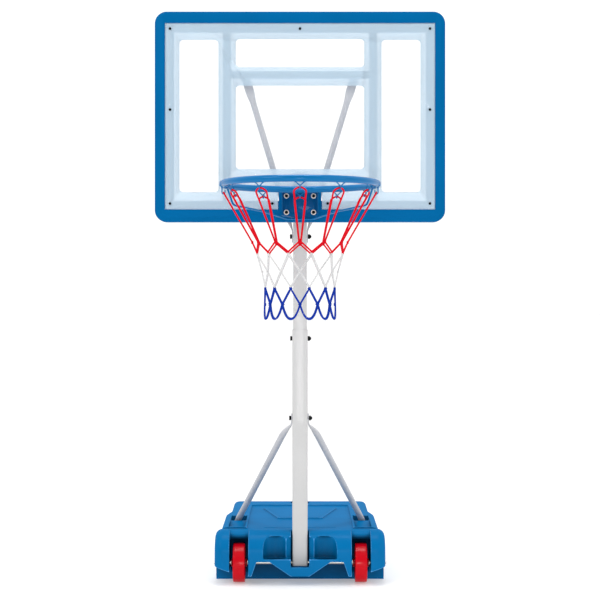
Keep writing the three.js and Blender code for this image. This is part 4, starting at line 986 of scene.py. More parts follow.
@dataclass
class BaseTank:
    """Blow-moulded water tank: a drum with scallops and wells in front of a long deck."""

    drum_half: float = 0.266
    deck_half: float = 0.2505
    tail_half: float = 0.2355
    top: float = 0.165
    front: float = 0.060
    rear: float = 0.729
    setback: float = 0.061
    drum_rear: float = 0.090
    drum_back: float = 0.024
    drum_fall: float = 0.012
    drum_edge: float = 0.023
    deck_edge: float = 0.016
    drum_rise: float = 0.065
    drum_run: float = 0.069
    drum_steps: int = 24
    lip: float = 0.028
    cheek_low: float = 0.041
    cheek_slant: float = 0.016
    step_start: float = 0.070
    step_end: float = 0.084
    tail_start: float = 0.385
    tail_end: float = 0.475
    tail_corner: float = 0.026
    shelf: float = 0.081
    scallops: tuple[Quad, ...] = (
        (-0.0761, 0.0395, 0.032, 0.149), (0.0761, 0.0395, 0.032, 0.149), (0, 0.055, 0.036, 0.147))
    scallop_facets: int = 96
    slot_half: float = 0.0285
    slot_low: float = 0.056
    tunnel: float = 0.073
    well_x: Flat = (0.161, 0.220)
    well_radius: float = 0.0725
    well_arc: Flat = (80, -64)
    well_steps: int = 32
    well_lip: Flat = (0.012, 0.148)
    well_nose: Flat = (0.026, 0.0145)
    post_top: float = 0.135
    post_low: float = 0.1504
    tongue_top: float = 0.0958
    tongue_low: float = 0.0293
    axle_z: float = 0.0623
    axle_hole: float = 0.0053
    foot_half: float = 0.0243
    foot_low: float = 0.0497
    panel_half: float = 0.1685
    panel: Flat = (0.050, 0.618)
    panel_depth: float = 0.005
    panel_corner: float = 0.012
    rib: float = 0.009
    rib_rise: float = 0.0048
    rib_arm: Flat = (0.122, 0.536)
    rib_elbow: Flat = (0.070, 0.288)
    groove_y: float = 0.087
    groove_half: float = 0.115
    groove_wide: float = 0.007
    groove_deep: float = 0.003
    pocket_x: Flat = (0.176, 0.228)
    pocket_y: Flat = (0.243, 0.340)
    pocket_deep: float = 0.035
    ramp_start: float = 0.070
    ramp_fall: Flat = (0.003, 0.020)
    cap_y: float = 0.680
    cap_bores: tuple[tuple[float, float, int], ...] = ((0.034, 0.009, 64), (0.018, 0.050, 48))
    voxel: float = 0.002
    rounds: int = 3
    share_kept: float = 0.27

    def y(self, reach: float) -> float:
        """World Y of a distance behind the mast's axis."""
        return MAST_Y + reach

    def plan(self, inset: float) -> list[Flat]:
        """Plan of the deck, drawn in by an inset everywhere but at the drum."""
        deck, tail = self.deck_half - inset, self.tail_half - inset
        corner, rear = self.tail_corner - inset, self.rear - inset
        half = [(deck, self.setback), (deck, self.tail_start), (tail, self.tail_end)]
        half += arc((tail - corner, rear - corner), corner, 0, 90, 8)
        return [(x, self.y(y)) for x, y in half + [(-x, y) for x, y in reversed(half)]]

    def slab(self) -> Piece:
        """The deck and its tail, with a rounded upper edge."""
        return crowned(self.plan, "Z", 0, self.top, self.deck_edge)

    def step(self) -> Piece:
        """The wider step of the plinth under the drum."""
        wide, deck = self.drum_half, self.deck_half
        plan = [(-wide, self.setback), (wide, self.setback), (wide, self.step_start)]
        plan += [(deck, self.step_end), (-deck, self.step_end), (-wide, self.step_start)]
        return prism([(x, self.y(y)) for x, y in plan], "Z", 0, self.top - self.drum_edge)

    def side(self, inset: float) -> list[Flat]:
        """Side of the drum, drawn in from its front and top by an inset."""
        rear, back, top = self.y(self.drum_rear), self.y(self.drum_back), self.top - inset
        points = [
            (self.y(inset - self.front), self.lip), (rear, self.lip), (rear, top - self.drum_fall), (back, top)]
        centre = (self.drum_run - self.front, self.top - self.drum_rise)
        crown = oval(centre, (self.drum_run - inset, self.drum_rise - inset), 90, 180, self.drum_steps)
        return points + [(self.y(y), z) for y, z in crown]

    def drum(self) -> Piece:
        """The rounded front, with its tunnels and slanted cheeks cut."""
        drum = crowned(self.side, "X", -self.drum_half, self.drum_half, self.drum_edge, both=True)
        under, outer, slant = self.lip - PAST, self.drum_half + PAST, self.cheek_low + self.cheek_slant
        well_out = self.well_x[1]
        cheek = [(well_out, self.cheek_low), (self.drum_half, slant), (outer, slant)]
        cheek += [(outer, under), (well_out, under)]
        tunnel = [(self.post_top, self.tunnel), (self.tongue_top, self.tunnel), (self.tongue_low, self.lip)]
        tunnel += [(self.tongue_low, under), (self.post_low, under), (self.post_low, self.lip)]
        return carve(drum, [
            prism([(side * x, z) for x, z in outline], "Y", self.y(-self.front) - PAST, self.y(self.setback))
            for outline in (cheek, tunnel) for side, _ in SIDES])

    def well(self) -> list[Flat]:
        """Side of a wheel well: open in front of a rounded lip, and close round the wheel behind it."""
        ahead, high = self.y(-self.front) - PAST, self.top + PAST
        points = [(ahead, -PAST), (ahead, high), (self.y(self.well_lip[0]), high)]
        points += [
            (self.y(y), z) for y, z in oval(self.well_lip, self.well_nose, 90, 270, self.well_steps // 2)]
        points += arc((self.y(0), self.axle_z), self.well_radius, *self.well_arc, self.well_steps)
        return [*points, (points[-1][0], -PAST)]

    def front_tools(self) -> list[Piece]:
        """Scallops, the slot and pocket of the mast's foot, and the wheel wells."""
        tools = []
        for x, radius, depth, ceiling in self.scallops:
            y = self.y(depth - self.front - radius)
            tools.append(rod(Vector((x, y, self.shelf)), Vector((x, y, ceiling)), radius, self.scallop_facets))
        foot, slot, ahead = self.foot_half, self.slot_half, self.y(-self.front) - PAST
        tools.append(block((-slot, ahead, self.slot_low), (slot, self.y(0), self.top + PAST)))
        tools.append(block((-foot, self.y(-foot), self.foot_low), (foot, self.y(foot), self.shelf + PAST)))
        tools += [prism(self.well(), "X", *sorted(side * x for x in self.well_x)) for side, _ in SIDES]
        return [*tools, cross_rod(self.drum_half + PAST, self.axle_z, self.axle_hole)]

    def sunk_panel(self, floor: float, high: float) -> Piece:
        """What the panel's floor leaves free over it, with its ribs left standing."""
        y0, y1 = (self.y(reach) for reach in self.panel)
        sunk = prism(
            rounded((-self.panel_half, y0), (self.panel_half, y1), self.panel_corner), "Z", floor, high)
        elbow, arm = (Vector((x, self.y(reach), 0)) for x, reach in (self.rib_elbow, self.rib_arm))
        mirror = Matrix.Diagonal((-1, 1, 1))
        ribs = []
        for start, end in ((elbow, arm), (mirror @ elbow, mirror @ arm), (mirror @ elbow, elbow)):
            aside = (end - start).normalized().cross(UP) * self.rib / 2
            corners = [start - aside, end - aside, end + aside, start + aside]
            ribs.append(prism([point.xy[:] for point in corners], "Z", floor - PAST, floor + self.rib_rise))
        return carve(sunk, ribs)

    def deck_tools(self) -> list[Piece]:
        """The sunk panel, the groove, the stays' pockets with their ramps, and the filling well."""
        floor, high = self.top - self.panel_depth, self.top + PAST
        y, half = self.y(self.groove_y), self.groove_wide / 2
        low = (-self.groove_half, y - half, floor - self.groove_deep)
        tools = [self.sunk_panel(floor, high), block(low, (self.groove_half, y + half, self.top))]
        y0, y1 = (self.y(reach) for reach in self.pocket_y)
        start, end, (shallow, deep) = self.y(self.ramp_start), y0 + PAST, self.ramp_fall
        ramp = [(start, high), (start, self.top - deep), (end, self.top - shallow), (end, high)]
        for side, _ in SIDES:
            x0, x1 = sorted(side * x for x in self.pocket_x)
            tools += [block((x0, y0, self.top - self.pocket_deep), (x1, y1, high)), prism(ramp, "X", x0, x1)]
        place = Vector((0, self.y(self.cap_y), 0))
        for radius, deep, facets in self.cap_bores:
            tools.append(rod(place + UP * (self.top - deep), place + UP * high, radius, facets))
        return tools

    def build(self) -> Piece:
        """The whole tank, drawn soft as a blow moulding is."""
        tank = carve(self.slab(), [self.drum(), self.step()], Carve.ADD)
        carve(tank, self.front_tools())
        carve(tank, self.deck_tools())
        modify(tank, "REMESH", mode="VOXEL", voxel_size=self.voxel)
        modify(tank, "SMOOTH", iterations=self.rounds, factor=0.5)
        modify(tank, "DECIMATE", ratio=self.share_kept)
        shade(settle(tank), SOFT)
        modify(tank, "WEIGHTED_NORMAL", keep_sharp=True)
        return fit(settle(tank), "tank_shell", TANK_BLUE, Body.BASE, "base_tank")


@dataclass
class FillCap:
    """Screw cap with grips, and the neck that it closes."""

    y: float = 0.285
    low: float = 0.1563
    under: float = 0.1681
    top: float = 0.1707
    radius: float = 0.0280
    wall_radius: float = 0.0226
    edge: float = 0.001
    disc_shares: Flat = (0.8, 0.76)
    grips: int = 36
    grip_radius: float = 0.0008
    neck: Flat = (0.018, 0.0216)
    neck_z: Flat = (0.1500, 0.1655)
    thread_radius: float = 0.0005
    thread_turns: float = 2.2
    thread_start: float = 0.008
    thread_steps: int = 119
    thread_facets: int = 6
    facets: int = 96
    neck_facets: int = 72
    grip_facets: int = 8

    def build_cap(self, rigs: Rigs, at: Vector) -> None:
        """The cap and its grips."""
        edge, (outer, inner) = self.edge, (self.radius * share for share in self.disc_shares)
        profile = [(0, self.under), (self.wall_radius, self.under), (self.wall_radius, self.low)]
        profile += [(self.radius, self.low), (self.radius, self.top - edge), (self.radius - edge, self.top)]
        profile += [(outer, self.top), (inner, self.top - edge / 2), (0, self.top - edge / 2)]
        fit(turned("cap_shell", profile, at, UP, self.facets), "cap_shell", BLACK_PLASTIC, Body.CAP, "fill_cap")
        grip = rod(UP * self.low, UP * (self.top - edge), self.grip_radius, self.grip_facets)
        places = [(at + spot, Quaternion()) for spot in around(self.grips, self.radius)]
        fit(rigs.copies("cap_grips", grip, places, BLACK_PLASTIC), "cap_grips", BLACK_PLASTIC, Body.CAP)

    def build_neck(self, rigs: Rigs, at: Vector) -> None:
        """The neck and its thread."""
        (inner, outer), (low, high) = self.neck, self.neck_z
        ring = [(inner, low), (outer, low), (outer, high), (inner, high)]
        fit(turned("fill_neck", ring, at, UP, self.neck_facets, closed=True), "fill_neck", TANK_BLUE, Body.BASE)
        helix = []
        for step in range(self.thread_steps + 1):
            share = step / self.thread_steps
            angle = 2 * math.pi * self.thread_turns * share
            spot = Vector((math.cos(angle), math.sin(angle), 0)) * outer
            helix.append(at + spot + UP * mix(low + self.thread_start, high - self.edge, share))
        thread = rigs.wires("neck_thread", [helix], self.thread_radius, TANK_BLUE, self.thread_facets)
        fit(thread, "neck_thread", TANK_BLUE, Body.BASE)

    def build(self, rigs: Rigs) -> None:
        """The cap, and the neck under it."""
        at = Vector((0, self.y, 0))
        self.build_cap(rigs, at)
        self.build_neck(rigs, at)


@dataclass
class Wheels:
    """Two spoked wheels, each moulded in one piece with its hub."""

    x: float = 0.1905
    z: float = 0.0623
    radius: float = 0.0608
    width: float = 0.0374
    hub_radius: float = 0.0125
    hub_length: float = 0.0494
    bore: float = 0.0052
    web: float = 0.007
    tread: float = 0.009
    edge: float = 0.0008
    corner: float = 0.0028
    hub_fillet: Flat = (0.001, 0.002)
    web_fillet: float = 0.003
    tread_fillet: float = 0.0022
    crown: float = 0.0004
    crown_shares: Flat = (0.7, 0.45)
    crown_flat: float = 0.0007
    spokes: int = 5
    spoke: float = 0.004
    spoke_sunk: float = 0.003
    spoke_lap: float = 0.002
    smooth: float = 40.0
    facets: int = 96

    def half_profile(self) -> list[Flat]:
        """Radius and height of the wheel's right half, from the bore outwards."""
        half, inside, web, hub = self.width / 2, self.radius - self.tread, self.web / 2, self.hub_length / 2
        edge, corner, hub_radius = self.edge, self.corner, self.hub_radius
        points = [(self.bore, hub), (hub_radius - edge, hub), (hub_radius, hub - edge)]
        (near, rise), wide = self.hub_fillet, self.web_fillet
        points += [(hub_radius + near, web + rise), (hub_radius + wide, web), (inside - wide, web)]
        points += [(inside - edge, web + self.tread_fillet), (inside, half - edge), (inside + edge, half)]
        points += arc((self.radius - corner, half - corner), corner, 90, 0, 6)
        swell, out = self.crown_shares
        points.append((self.radius + self.crown * swell, half * out))
        return [*points, (self.radius + self.crown, self.crown_flat)]

    def build_one(self, side: int) -> Piece:
        """The wheel on one side."""
        half = self.half_profile()
        ring = half + [(radius, -height) for radius, height in reversed(half)]
        at = Vector((side * self.x, MAST_Y, self.z))
        wheel = turned("wheel", ring, at, RIGHT, self.facets, closed=True)
        high, thin = self.width / 2 - self.spoke_sunk, self.spoke / 2
        low, top = self.hub_radius - self.spoke_lap, self.radius - self.tread + self.spoke_lap
        tools = []
        for number in range(self.spokes):
            spoke = block((-high, -thin, low), (high, thin, top))
            turn = Matrix.Rotation(2 * math.pi * number / self.spokes, 4, "X")
            spoke.data.transform(Matrix.Translation(at) @ turn)
            tools.append(spoke)
        return shade(carve(wheel, tools, Carve.ADD), self.smooth)

    def build(self) -> None:
        """Both wheels."""
        for side, body in ((1, Body.WHEEL_RIGHT), (-1, Body.WHEEL_LEFT)):
            fit(self.build_one(side), f"{body.value}_moulding", WHEEL_RED, body, body.value)


# Mast and braces


@dataclass
class Station:
    """One section of a tube: its place, its first axis, its half sizes and how flat it is pressed."""

    at: Vector
    across: Vector
    half_u: float
    half_v: float
    press: float

    @classmethod
    def between(cls, parts: Sequence[tuple[float, "Station"]]) -> "Station":
        """Station between others, each of which has a weight."""
        at, across = Vector(), Vector()
        for weight, part in parts:
            at += part.at * weight
            across += part.across * weight
        names = ("half_u", "half_v", "press")
        sizes = [sum(weight * getattr(part, name) for weight, part in parts) for name in names]
        return cls(at, across.normalized(), *sizes)


@dataclass
class PressedTube:
    """Round tube that is pressed flat at its ends, through stations."""

    stations: list[Station]
    step: float = 0.004
    rounds: int = 5
    facets: int = 28
    square_share: float = 0.7

    def dense(self) -> list[Station]:
        """Stations a step apart, with the bends and swells evened out."""
        rows = [self.stations[0]]
        for start, end in zip(self.stations, self.stations[1:]):
            count = max(1, round((end.at - start.at).length / self.step))
            shares = [number / count for number in range(1, count + 1)]
            rows += [Station.between(((1 - share, start), (share, end))) for share in shares]
        for _ in range(self.rounds):
            inner = [
                Station.between(tuple(zip((0.25, 0.5, 0.25), three)))
                for three in zip(rows, rows[1:], rows[2:])]
            rows = [rows[0], *inner, rows[-1]]
        return rows

    def build(self) -> Piece:
        """The tube through its sections, which go from round to flat."""
        rows = self.dense()
        loops = []
        for number, row in enumerate(rows):
            along = (rows[min(number + 1, len(rows) - 1)].at - rows[max(number - 1, 0)].at).normalized()
            unit_u = (row.across - along * row.across.dot(along)).normalized()
            unit_v = along.cross(unit_u).normalized()
            power = 1 - self.square_share * row.press
            loop = []
            for u, v, _ in around(self.facets, 1):
                reach_u = math.copysign(abs(u) ** power, u) * row.half_u
                reach_v = math.copysign(abs(v) ** power, v) * row.half_v
                loop.append(row.at + unit_u * reach_u + unit_v * reach_v)
            loops.append(loop)
        return new_piece("tube", loft(loops), SOFT)


@dataclass
class Tab:
    """A pressed end: its tip, where its flat part ends, and the first axis of its section."""

    tip: Vector
    end: Vector
    across: Vector


@dataclass
class Brace:
    """Tube beside the mast that is pressed flat at both ends, the second a quarter turn from the first."""

    radius: float = 0.010
    tab_half: float = 0.014
    tab: float = 0.003
    half_press: float = 0.55
    tip_shares: tuple[Flat, ...] = ((0, 0.5), (0.06, 0.82), (0.2, 1), (1, 1))

    def tube(
        self, first: Tab, ease: Vector, run: Sequence[Vector], across: Vector, bend: Vector, last: Tab
    ) -> Piece:
        """Tube from one tab to the other.

        Args:
            first: The tab at its start, whose width lies along the first axis.
            ease: Where it is half round behind that tab.
            run: Where it is round.
            across: The first axis of its round run and its bend.
            bend: Where it is half round ahead of the other tab.
            last: The tab at its end, whose width lies along the second axis.

        Returns:
            The closed tube.
        """
        thin, half = self.tab / 2, self.half_press
        wide_half, thin_half = mix(self.radius, self.tab_half, half), mix(self.radius, thin, half)
        rows = []
        for share, width in self.tip_shares:
            rows.append(Station(first.tip.lerp(first.end, share), first.across, self.tab_half * width, thin, 1))
        rows.append(Station(ease, first.across, wide_half, thin_half, half))
        rows += [Station(spot, across, self.radius, self.radius, 0) for spot in run]
        rows.append(Station(bend, across, thin_half, wide_half, half))
        for share, width in reversed(self.tip_shares):
            rows.append(Station(last.tip.lerp(last.end, share), last.across, thin, self.tab_half * width, 1))
        return PressedTube(rows).build()

    def one(self, side: int) -> Piece:
        """The brace on one side."""
        raise NotImplementedError

    def build(self, name: str, body: Body, node: str) -> None:
        """Both braces."""
        for side, word in SIDES:
            fit(shade(self.one(side), FIRM), f"{name}_{word}", SHADED_BRACE_GREY, body, f"{node}_{word}")


def beside(side: int, x: float, y: float, z: float) -> Vector:
    """Place on one side of the mast's axis."""
    return Vector((side * x, MAST_Y + y, z))


@dataclass
class Mast:
    """Lower and upper square tubes."""

    lower_side: float = 0.048
    upper_side: float = 0.043
    wall: float = 0.0015
    corner: float = 0.005
    lower: Flat = (0.050, 0.7925)
    upper: Flat = (0.640, 1.285)
    axle_z: float = 0.0623
    axle_hole: float = 0.0054
    height_z: float = 0.7655
    pitch: float = 0.035
    each_way: int = 3
    stay_z: float = 0.5156
    bar_z: float = 1.085

    def pole(self, side: float, ends: Flat, holes: Sequence[Flat]) -> Piece:
        """Open square tube with rounded corners and cross holes, each with its height and radius."""
        loops = []
        for inset in (0.0, self.wall):
            half, corner = side / 2 - inset, self.corner - inset
            points = rounded((-half, MAST_Y - half), (half, MAST_Y + half), corner, 6)
            loops.append([[Vector((x, y, z)) for x, y in points] for z in ends])
        (outer_low, outer_high), (inner_low, inner_high) = loops
        tube = new_piece("tube", loft([outer_low, outer_high, inner_high, inner_low], endless=True))
        return shade(carve(tube, [cross_rod(self.lower_side, z, radius) for z, radius in holes]))

    def build(self) -> None:
        """Both poles with their cross holes."""
        holes = [(self.height_z, BOLT_HOLE), (self.stay_z, BOLT_HOLE), (self.axle_z, self.axle_hole)]
        lower = self.pole(self.lower_side, self.lower, holes)
        fit(lower, "lower_tube", POLE_GREY, Body.BASE, "lower_pole")
        steps = range(-self.each_way, self.each_way + 1)
        heights = [self.bar_z, *(self.height_z + step * self.pitch for step in steps)]
        upper = self.pole(self.upper_side, self.upper, [(z, BOLT_HOLE) for z in heights])
        fit(upper, "upper_tube", POLE_GREY, Body.UPPER, "upper_pole")


@dataclass
class Stay(Brace):
    """Stay from the mast's bolt to its pocket in the deck."""

    mast: Mast = field(default_factory=Mast)
    tab_rise: float = 0.014
    tab_drop: float = 0.021
    knee: Triple = (0.0484, 0.010, 0.474)
    knee_share: float = 0.04
    deck: Triple = (0.2037, 0.262, 0.162)
    foot: Flat = (0.212, 0.330)
    foot_flat: float = 0.294
    foot_rise: float = 0.011
    foot_screw: float = 0.314
    pocket_floor: float = 0.130

    def one(self, side: int) -> Piece:
        """The stay on one side."""
        x, bolt_z = self.mast.lower_side / 2 + SEAT + self.tab / 2, self.mast.stay_z
        floor = self.pocket_floor + SEAT + self.tab / 2
        top = Tab(beside(side, x, 0, bolt_z + self.tab_rise), beside(side, x, 0, bolt_z - self.tab_drop), BACK)
        knee, deck = beside(side, *self.knee), beside(side, *self.deck)
        foot = Tab(beside(side, *self.foot, floor), beside(side, self.foot[0], self.foot_flat, floor), UP)
        bend = foot.end.lerp(deck, 0.5)
        bend.z = floor + self.foot_rise
        run = [knee.lerp(deck, share) for share in (self.knee_share, 1.0)]
        tube = self.tube(top, top.end.lerp(knee, 0.5), run, Vector((0, 1, 1)).normalized(), bend, foot)
        screw = beside(side, self.foot[0], self.foot_screw, floor)
        ends = [screw - UP * self.radius, screw + UP * self.radius]
        return carve(tube, [cross_rod(self.mast.lower_side, bolt_z, BOLT_HOLE), rod(*ends, SCREW_HOLE, 16)])


@dataclass
class Bar(Brace):
    """Bar from the board's cross rib to the bolt on the upper pole."""

    mast: Mast = field(default_factory=Mast)
    radius: float = 0.0095
    tab_half: float = 0.0135
    top_x: float = 0.1714
    top_z: float = 1.5858
    back: float = -0.034
    tab_rise: float = 0.014
    tab_drop: float = 0.019
    flat: float = 0.058
    taper: float = 0.084
    clear: float = 0.003
    slope: float = 0.3007
    bend_share: float = 0.1
    bend_y: float = -0.003

    def one(self, side: int) -> Piece:
        """The bar on one side."""
        x, bolt_z = self.mast.upper_side / 2 + SEAT + self.tab / 2, self.mast.bar_z
        slope = Vector((side * self.slope, 0, 1)).normalized()
        top = beside(side, self.top_x, self.back + SEAT + self.tab / 2, self.top_z)
        first = Tab(top + slope * self.tab_rise, top - slope * self.flat, RIGHT)
        start = top - slope * self.taper
        start.y = MAST_Y + self.back + self.clear + self.radius
        last = Tab(
            beside(side, x, 0, bolt_z - self.tab_drop), beside(side, x, 0, bolt_z + self.tab_drop), RIGHT)
        end = start - slope * ((start.z - last.end.z) * (1 - self.bend_share) / slope.z)
        end.y = MAST_Y + self.bend_y
        tube = self.tube(first, first.end.lerp(start, 0.5), [start, end], RIGHT, end.lerp(last.end, 0.5), last)
        reach = (top.y - self.radius, top.y + self.radius)
        screw = through_rod(side * self.top_x, self.top_z, SCREW_HOLE, reach)
        return carve(tube, [cross_rod(self.mast.lower_side, bolt_z, BOLT_HOLE), screw])


@dataclass
class Hardware:
    """Hex bolts, washers, dome nuts and cross-head screws."""

    bolt: float = 0.004
    bolt_edge: float = 0.0008
    bolt_facets: int = 24
    bolt_spin: float = 12.0
    nut_spin: float = 25.0
    across: float = 0.013
    corner_turned: Flat = (0.8, 0.96)
    high: float = 0.0065
    dome: float = 0.0045
    dome_sunk: float = 0.0012
    dome_inset: float = 0.0004
    proud: float = 0.008
    lap: float = 0.001
    rim_bolt: float = 0.003
    rim_across: float = 0.010
    rim_head: float = 0.004
    rim_shank: float = 0.045
    washer: float = 0.0082
    washer_bore: float = 0.0034
    washer_thick: float = 0.0016
    washer_edge: float = 0.0003
    screw_head: float = 0.0042
    screw_high: float = 0.0026
    screw_shank: Flat = (0.002, 0.006)
    screw_wall: float = 0.35
    screw_facets: int = 20
    recess: Triple = (0.62, 0.00045, 0.0012)
    washer_facets: int = 40

    def hex_head(self, across: float, height: float) -> Piece:
        """Six-sided head from zero up, with its top corners turned off."""
        radius, lap = across / math.sqrt(3), self.lap
        head = prism([spot.xy[:] for spot in around(6, radius)], "Z", 0, height)
        drop, share = self.corner_turned
        low, face = height - (radius - across / 2) * drop, across / 2 * share
        cone = [(0, -lap), (radius + lap, -lap), (radius + lap, low), (face, height)]
        return carve(head, [turned("cone", [*cone, (0, height)])], Carve.KEEP)

    def cross_bolt(self, rigs: Rigs, name: str, face: float, z: float, bodies: tuple[Body, Body]) -> None:
        """Bolt across the mast with its dome nut.

        Args:
            rigs: The geometry node trees.
            name: Start of the names of both nodes.
            face: How far from the middle the faces are on which head and nut bear.
            z: Height of the bolt.
            bodies: The bodies of the bolt and of the nut.
        """
        seat, edge, radius = face + SEAT, self.bolt_edge, self.across / 2 - self.dome_inset
        length = 2 * seat + self.proud
        shank = [(0, -self.lap), (self.bolt, -self.lap), (self.bolt, length - edge), (self.bolt - edge, length)]
        start = Vector((-seat, MAST_Y, z))
        stem = turned("stem", [*shank, (0, length)], start, RIGHT, self.bolt_facets)
        head = self.hex_head(self.across, self.high)
        head.data.transform(Matrix.Translation(start) @ aim(-RIGHT, self.bolt_spin).to_matrix().to_4x4())
        bolt = shade(carve(head, [stem], Carve.ADD), CRISP)
        fit(bolt, f"{name}_bolt_steel", DARK_STEEL, bodies[0], f"{name}_bolt")
        nut = self.hex_head(self.across, self.high)
        crown = oval((0, self.high - self.dome_sunk), (radius, self.dome + self.dome_sunk), 0, 90, 8)
        carve(nut, [turned("dome", [(0, self.lap), (radius, self.lap), *crown])], Carve.ADD)
        bore, low = self.bolt + SEAT, -2 * self.lap
        hole = [(0, low), (bore, low), (bore, self.proud), (0, self.proud)]
        carve(nut, [turned("bore", hole, facets=self.bolt_facets)])
        nut.data.transform(
            Matrix.Translation((seat, MAST_Y, z)) @ aim(RIGHT, self.nut_spin).to_matrix().to_4x4())
        fit(shade(nut, CRISP), f"{name}_nut_steel", DARK_STEEL, bodies[1], f"{name}_nut")

    def screw(self) -> Piece:
        """Pan-head screw with a cross recess, its head's underside at zero."""
        (shank, length), wide = self.screw_shank, self.screw_head
        wall, high = self.screw_high * self.screw_wall, self.screw_high
        pan = oval((0, wall), (wide, high - wall), 0, 90, 6)[:-1]
        profile = [(0, -length), (shank, -length), (shank, 0), (wide, 0), *pan, (0, high)]
        reach, half, floor = wide * self.recess[0], *self.recess[1:]
        tools = [block((-x, -y, floor), (x, y, high + self.lap)) for x, y in ((reach, half), (half, reach))]
        return shade(carve(turned("screw", profile, facets=self.screw_facets), tools), CRISP)

    def washer_ring(self) -> Piece:
        """Flat washer with rounded edges, from zero up."""
        inner, outer, high, edge = self.washer_bore, self.washer, self.washer_thick, self.washer_edge
        ring = [(inner, 0), (outer - edge, 0), (outer, edge), (outer, high - edge), (outer - edge, high)]
        return turned("washer", [*ring, (inner, high)], facets=self.washer_facets, closed=True)


# Board


@dataclass
class Board:
    """Moulded frame with its ribs, a clear sheet, its frosted print and nine screws."""

    half: float = 0.450
    low: float = 1.1275
    high: float = 1.7795
    corner: float = 0.037
    corner_steps: int = 12
    front: float = -0.459
    back: float = -0.429
    edge: float = 0.004
    rib_edge: float = 0.0009
    sheet_half: float = 0.4186
    sheet: Flat = (1.1665, 1.7440)
    sheet_y: Flat = (-0.4585, -0.4545)
    sheet_edge: float = 0.0005
    square_on: float = 0.98
    margin: float = 0.0006
    ledge_y: Flat = (-0.4542, -0.4402)
    ledge: float = 0.027
    rib_x: float = 0.227
    rib: float = 0.025
    cross_z: float = 1.5858
    cross: float = 0.021
    window_corner: float = 0.003
    boss_half: float = 0.066
    boss_top: float = 1.232
    notch: float = 0.0016
    wall: float = 0.004
    pocket_gap: float = 0.0035
    top_pockets: int = 6
    side_pockets: int = 4
    print_corner: float = 0.012
    print_steps: int = 10
    print_side: Quad = (0.2529, 0.3737, 1.2207, 1.6924)
    print_top: Quad = (-0.199, 0.199, 1.6084, 1.6948)
    print_main: Quad = (-0.199, 0.199, 1.292, 1.5507)
    print_inset: float = 0.001
    print_y: Flat = (-0.4546, -0.4543)
    through_y: Flat = (-0.47, -0.44)
    screw_rows: Triple = (1.727, 1.476, 1.185)
    screw_x: float = 0.4027
    screw_mid: float = 0.086
    screw_spin: float = 37.0

    def screw_places(self) -> list[Flat]:
        """X and Z of the nine screws."""
        (top, mid, low), x, near = self.screw_rows, self.screw_x, self.screw_mid
        return [
            (-x, top), (0, top), (x, top), (-x, mid), (x, mid),
            (-x, low), (x, low), (-near, low), (near, low)]

    def windows(self) -> list[Piece]:
        """Two openings in the middle and a tall one on each side."""
        rib_in, rib_out = self.rib_x - self.rib / 2, self.rib_x + self.rib / 2
        edge, half = self.sheet_half - self.ledge, self.cross / 2
        low, high = self.sheet[0] + self.ledge, self.sheet[1] - self.ledge
        boxes = [(-rib_in, rib_in, low, self.cross_z - half), (-rib_in, rib_in, self.cross_z + half, high)]
        boxes += [(rib_out, edge, low, high), (-edge, -rib_out, low, high)]
        reach = (self.front - PAST, self.back + PAST)
        return [
            prism(rounded((x0, z0), (x1, z1), self.window_corner, 3), "Y", *reach) for x0, x1, z0, z1 in boxes]

    def row(self, start: float, end: float, count: int) -> list[Flat]:
        """Even runs between two places, with a web between each two."""
        pitch, gap = (end - start) / count, self.pocket_gap
        return [(start + k * pitch + gap / 2, start + (k + 1) * pitch - gap / 2) for k in range(count)]

    def pockets(self) -> list[Piece]:
        """Open-backed pockets in the border, all round but for the boss."""
        wall, past, corner_x = self.wall, self.margin + self.wall, self.half - self.corner
        spans = []
        inner, outer = self.sheet_half + past, self.half - wall
        for z0, z1 in self.row(self.low + self.corner, self.high - self.corner, self.side_pockets):
            spans += [(inner, outer, z0, z1), (-outer, -inner, z0, z1)]
        low, high = self.low + wall, self.sheet[0] - past
        for x0, x1 in self.row(self.boss_half + wall, corner_x, self.top_pockets // 2):
            spans += [(x0, x1, low, high), (-x1, -x0, low, high)]
        low, high = self.sheet[1] + past, self.high - wall
        spans += [(x0, x1, low, high) for x0, x1 in self.row(-corner_x, corner_x, self.top_pockets)]
        return [block((x0, self.front + wall, z0), (x1, self.back + PAST, z1)) for x0, x1, z0, z1 in spans]

    def build_frame(self) -> None:
        """The moulded frame, with its edges rounded."""
        outline = rounded((-self.half, self.low), (self.half, self.high), self.corner, self.corner_steps)
        slab = prism(outline, "Y", self.front, self.back, self.edge, 4)
        wide, half = self.sheet_half + self.margin, self.cross / 2
        low, high = self.sheet[0] - self.margin, self.sheet[1] + self.margin
        recess = block((-wide, self.front - PAST, low), (wide, self.ledge_y[0], high))
        rear = block((-wide, self.ledge_y[1], low), (wide, self.back + PAST, high))
        carve(slab, [recess, rear, *self.windows(), *self.pockets()])
        cross = block(
            (-self.rib_x, self.ledge_y[0], self.cross_z - half), (self.rib_x, self.back, self.cross_z + half))
        boss = block((-self.boss_half, self.front, low - self.wall), (self.boss_half, self.back, self.boss_top))
        carve(slab, [cross, boss], Carve.ADD)
        reach = (self.front - PAST, self.back + PAST)
        carve(slab, [through_rod(x, z, RIM_BOLT_HOLE, reach) for x, z in RIM_BOLTS])
        fit(soften(slab, self.rib_edge), "frame_moulding", FRAME_BLUE, Body.UPPER, "board_frame")

    def notched(self, inset: float = 0.0) -> list[Flat]:
        """Outline of the sheet, with its notch round the boss."""
        wide, low, high = self.sheet_half - inset, self.sheet[0] + inset, self.sheet[1] - inset
        notch, top = self.boss_half + self.notch + inset, self.boss_top + self.notch + inset
        return [(-wide, low), (-notch, low), (-notch, top), (notch, top), (notch, low), (wide, low),
                (wide, high), (-wide, high)]

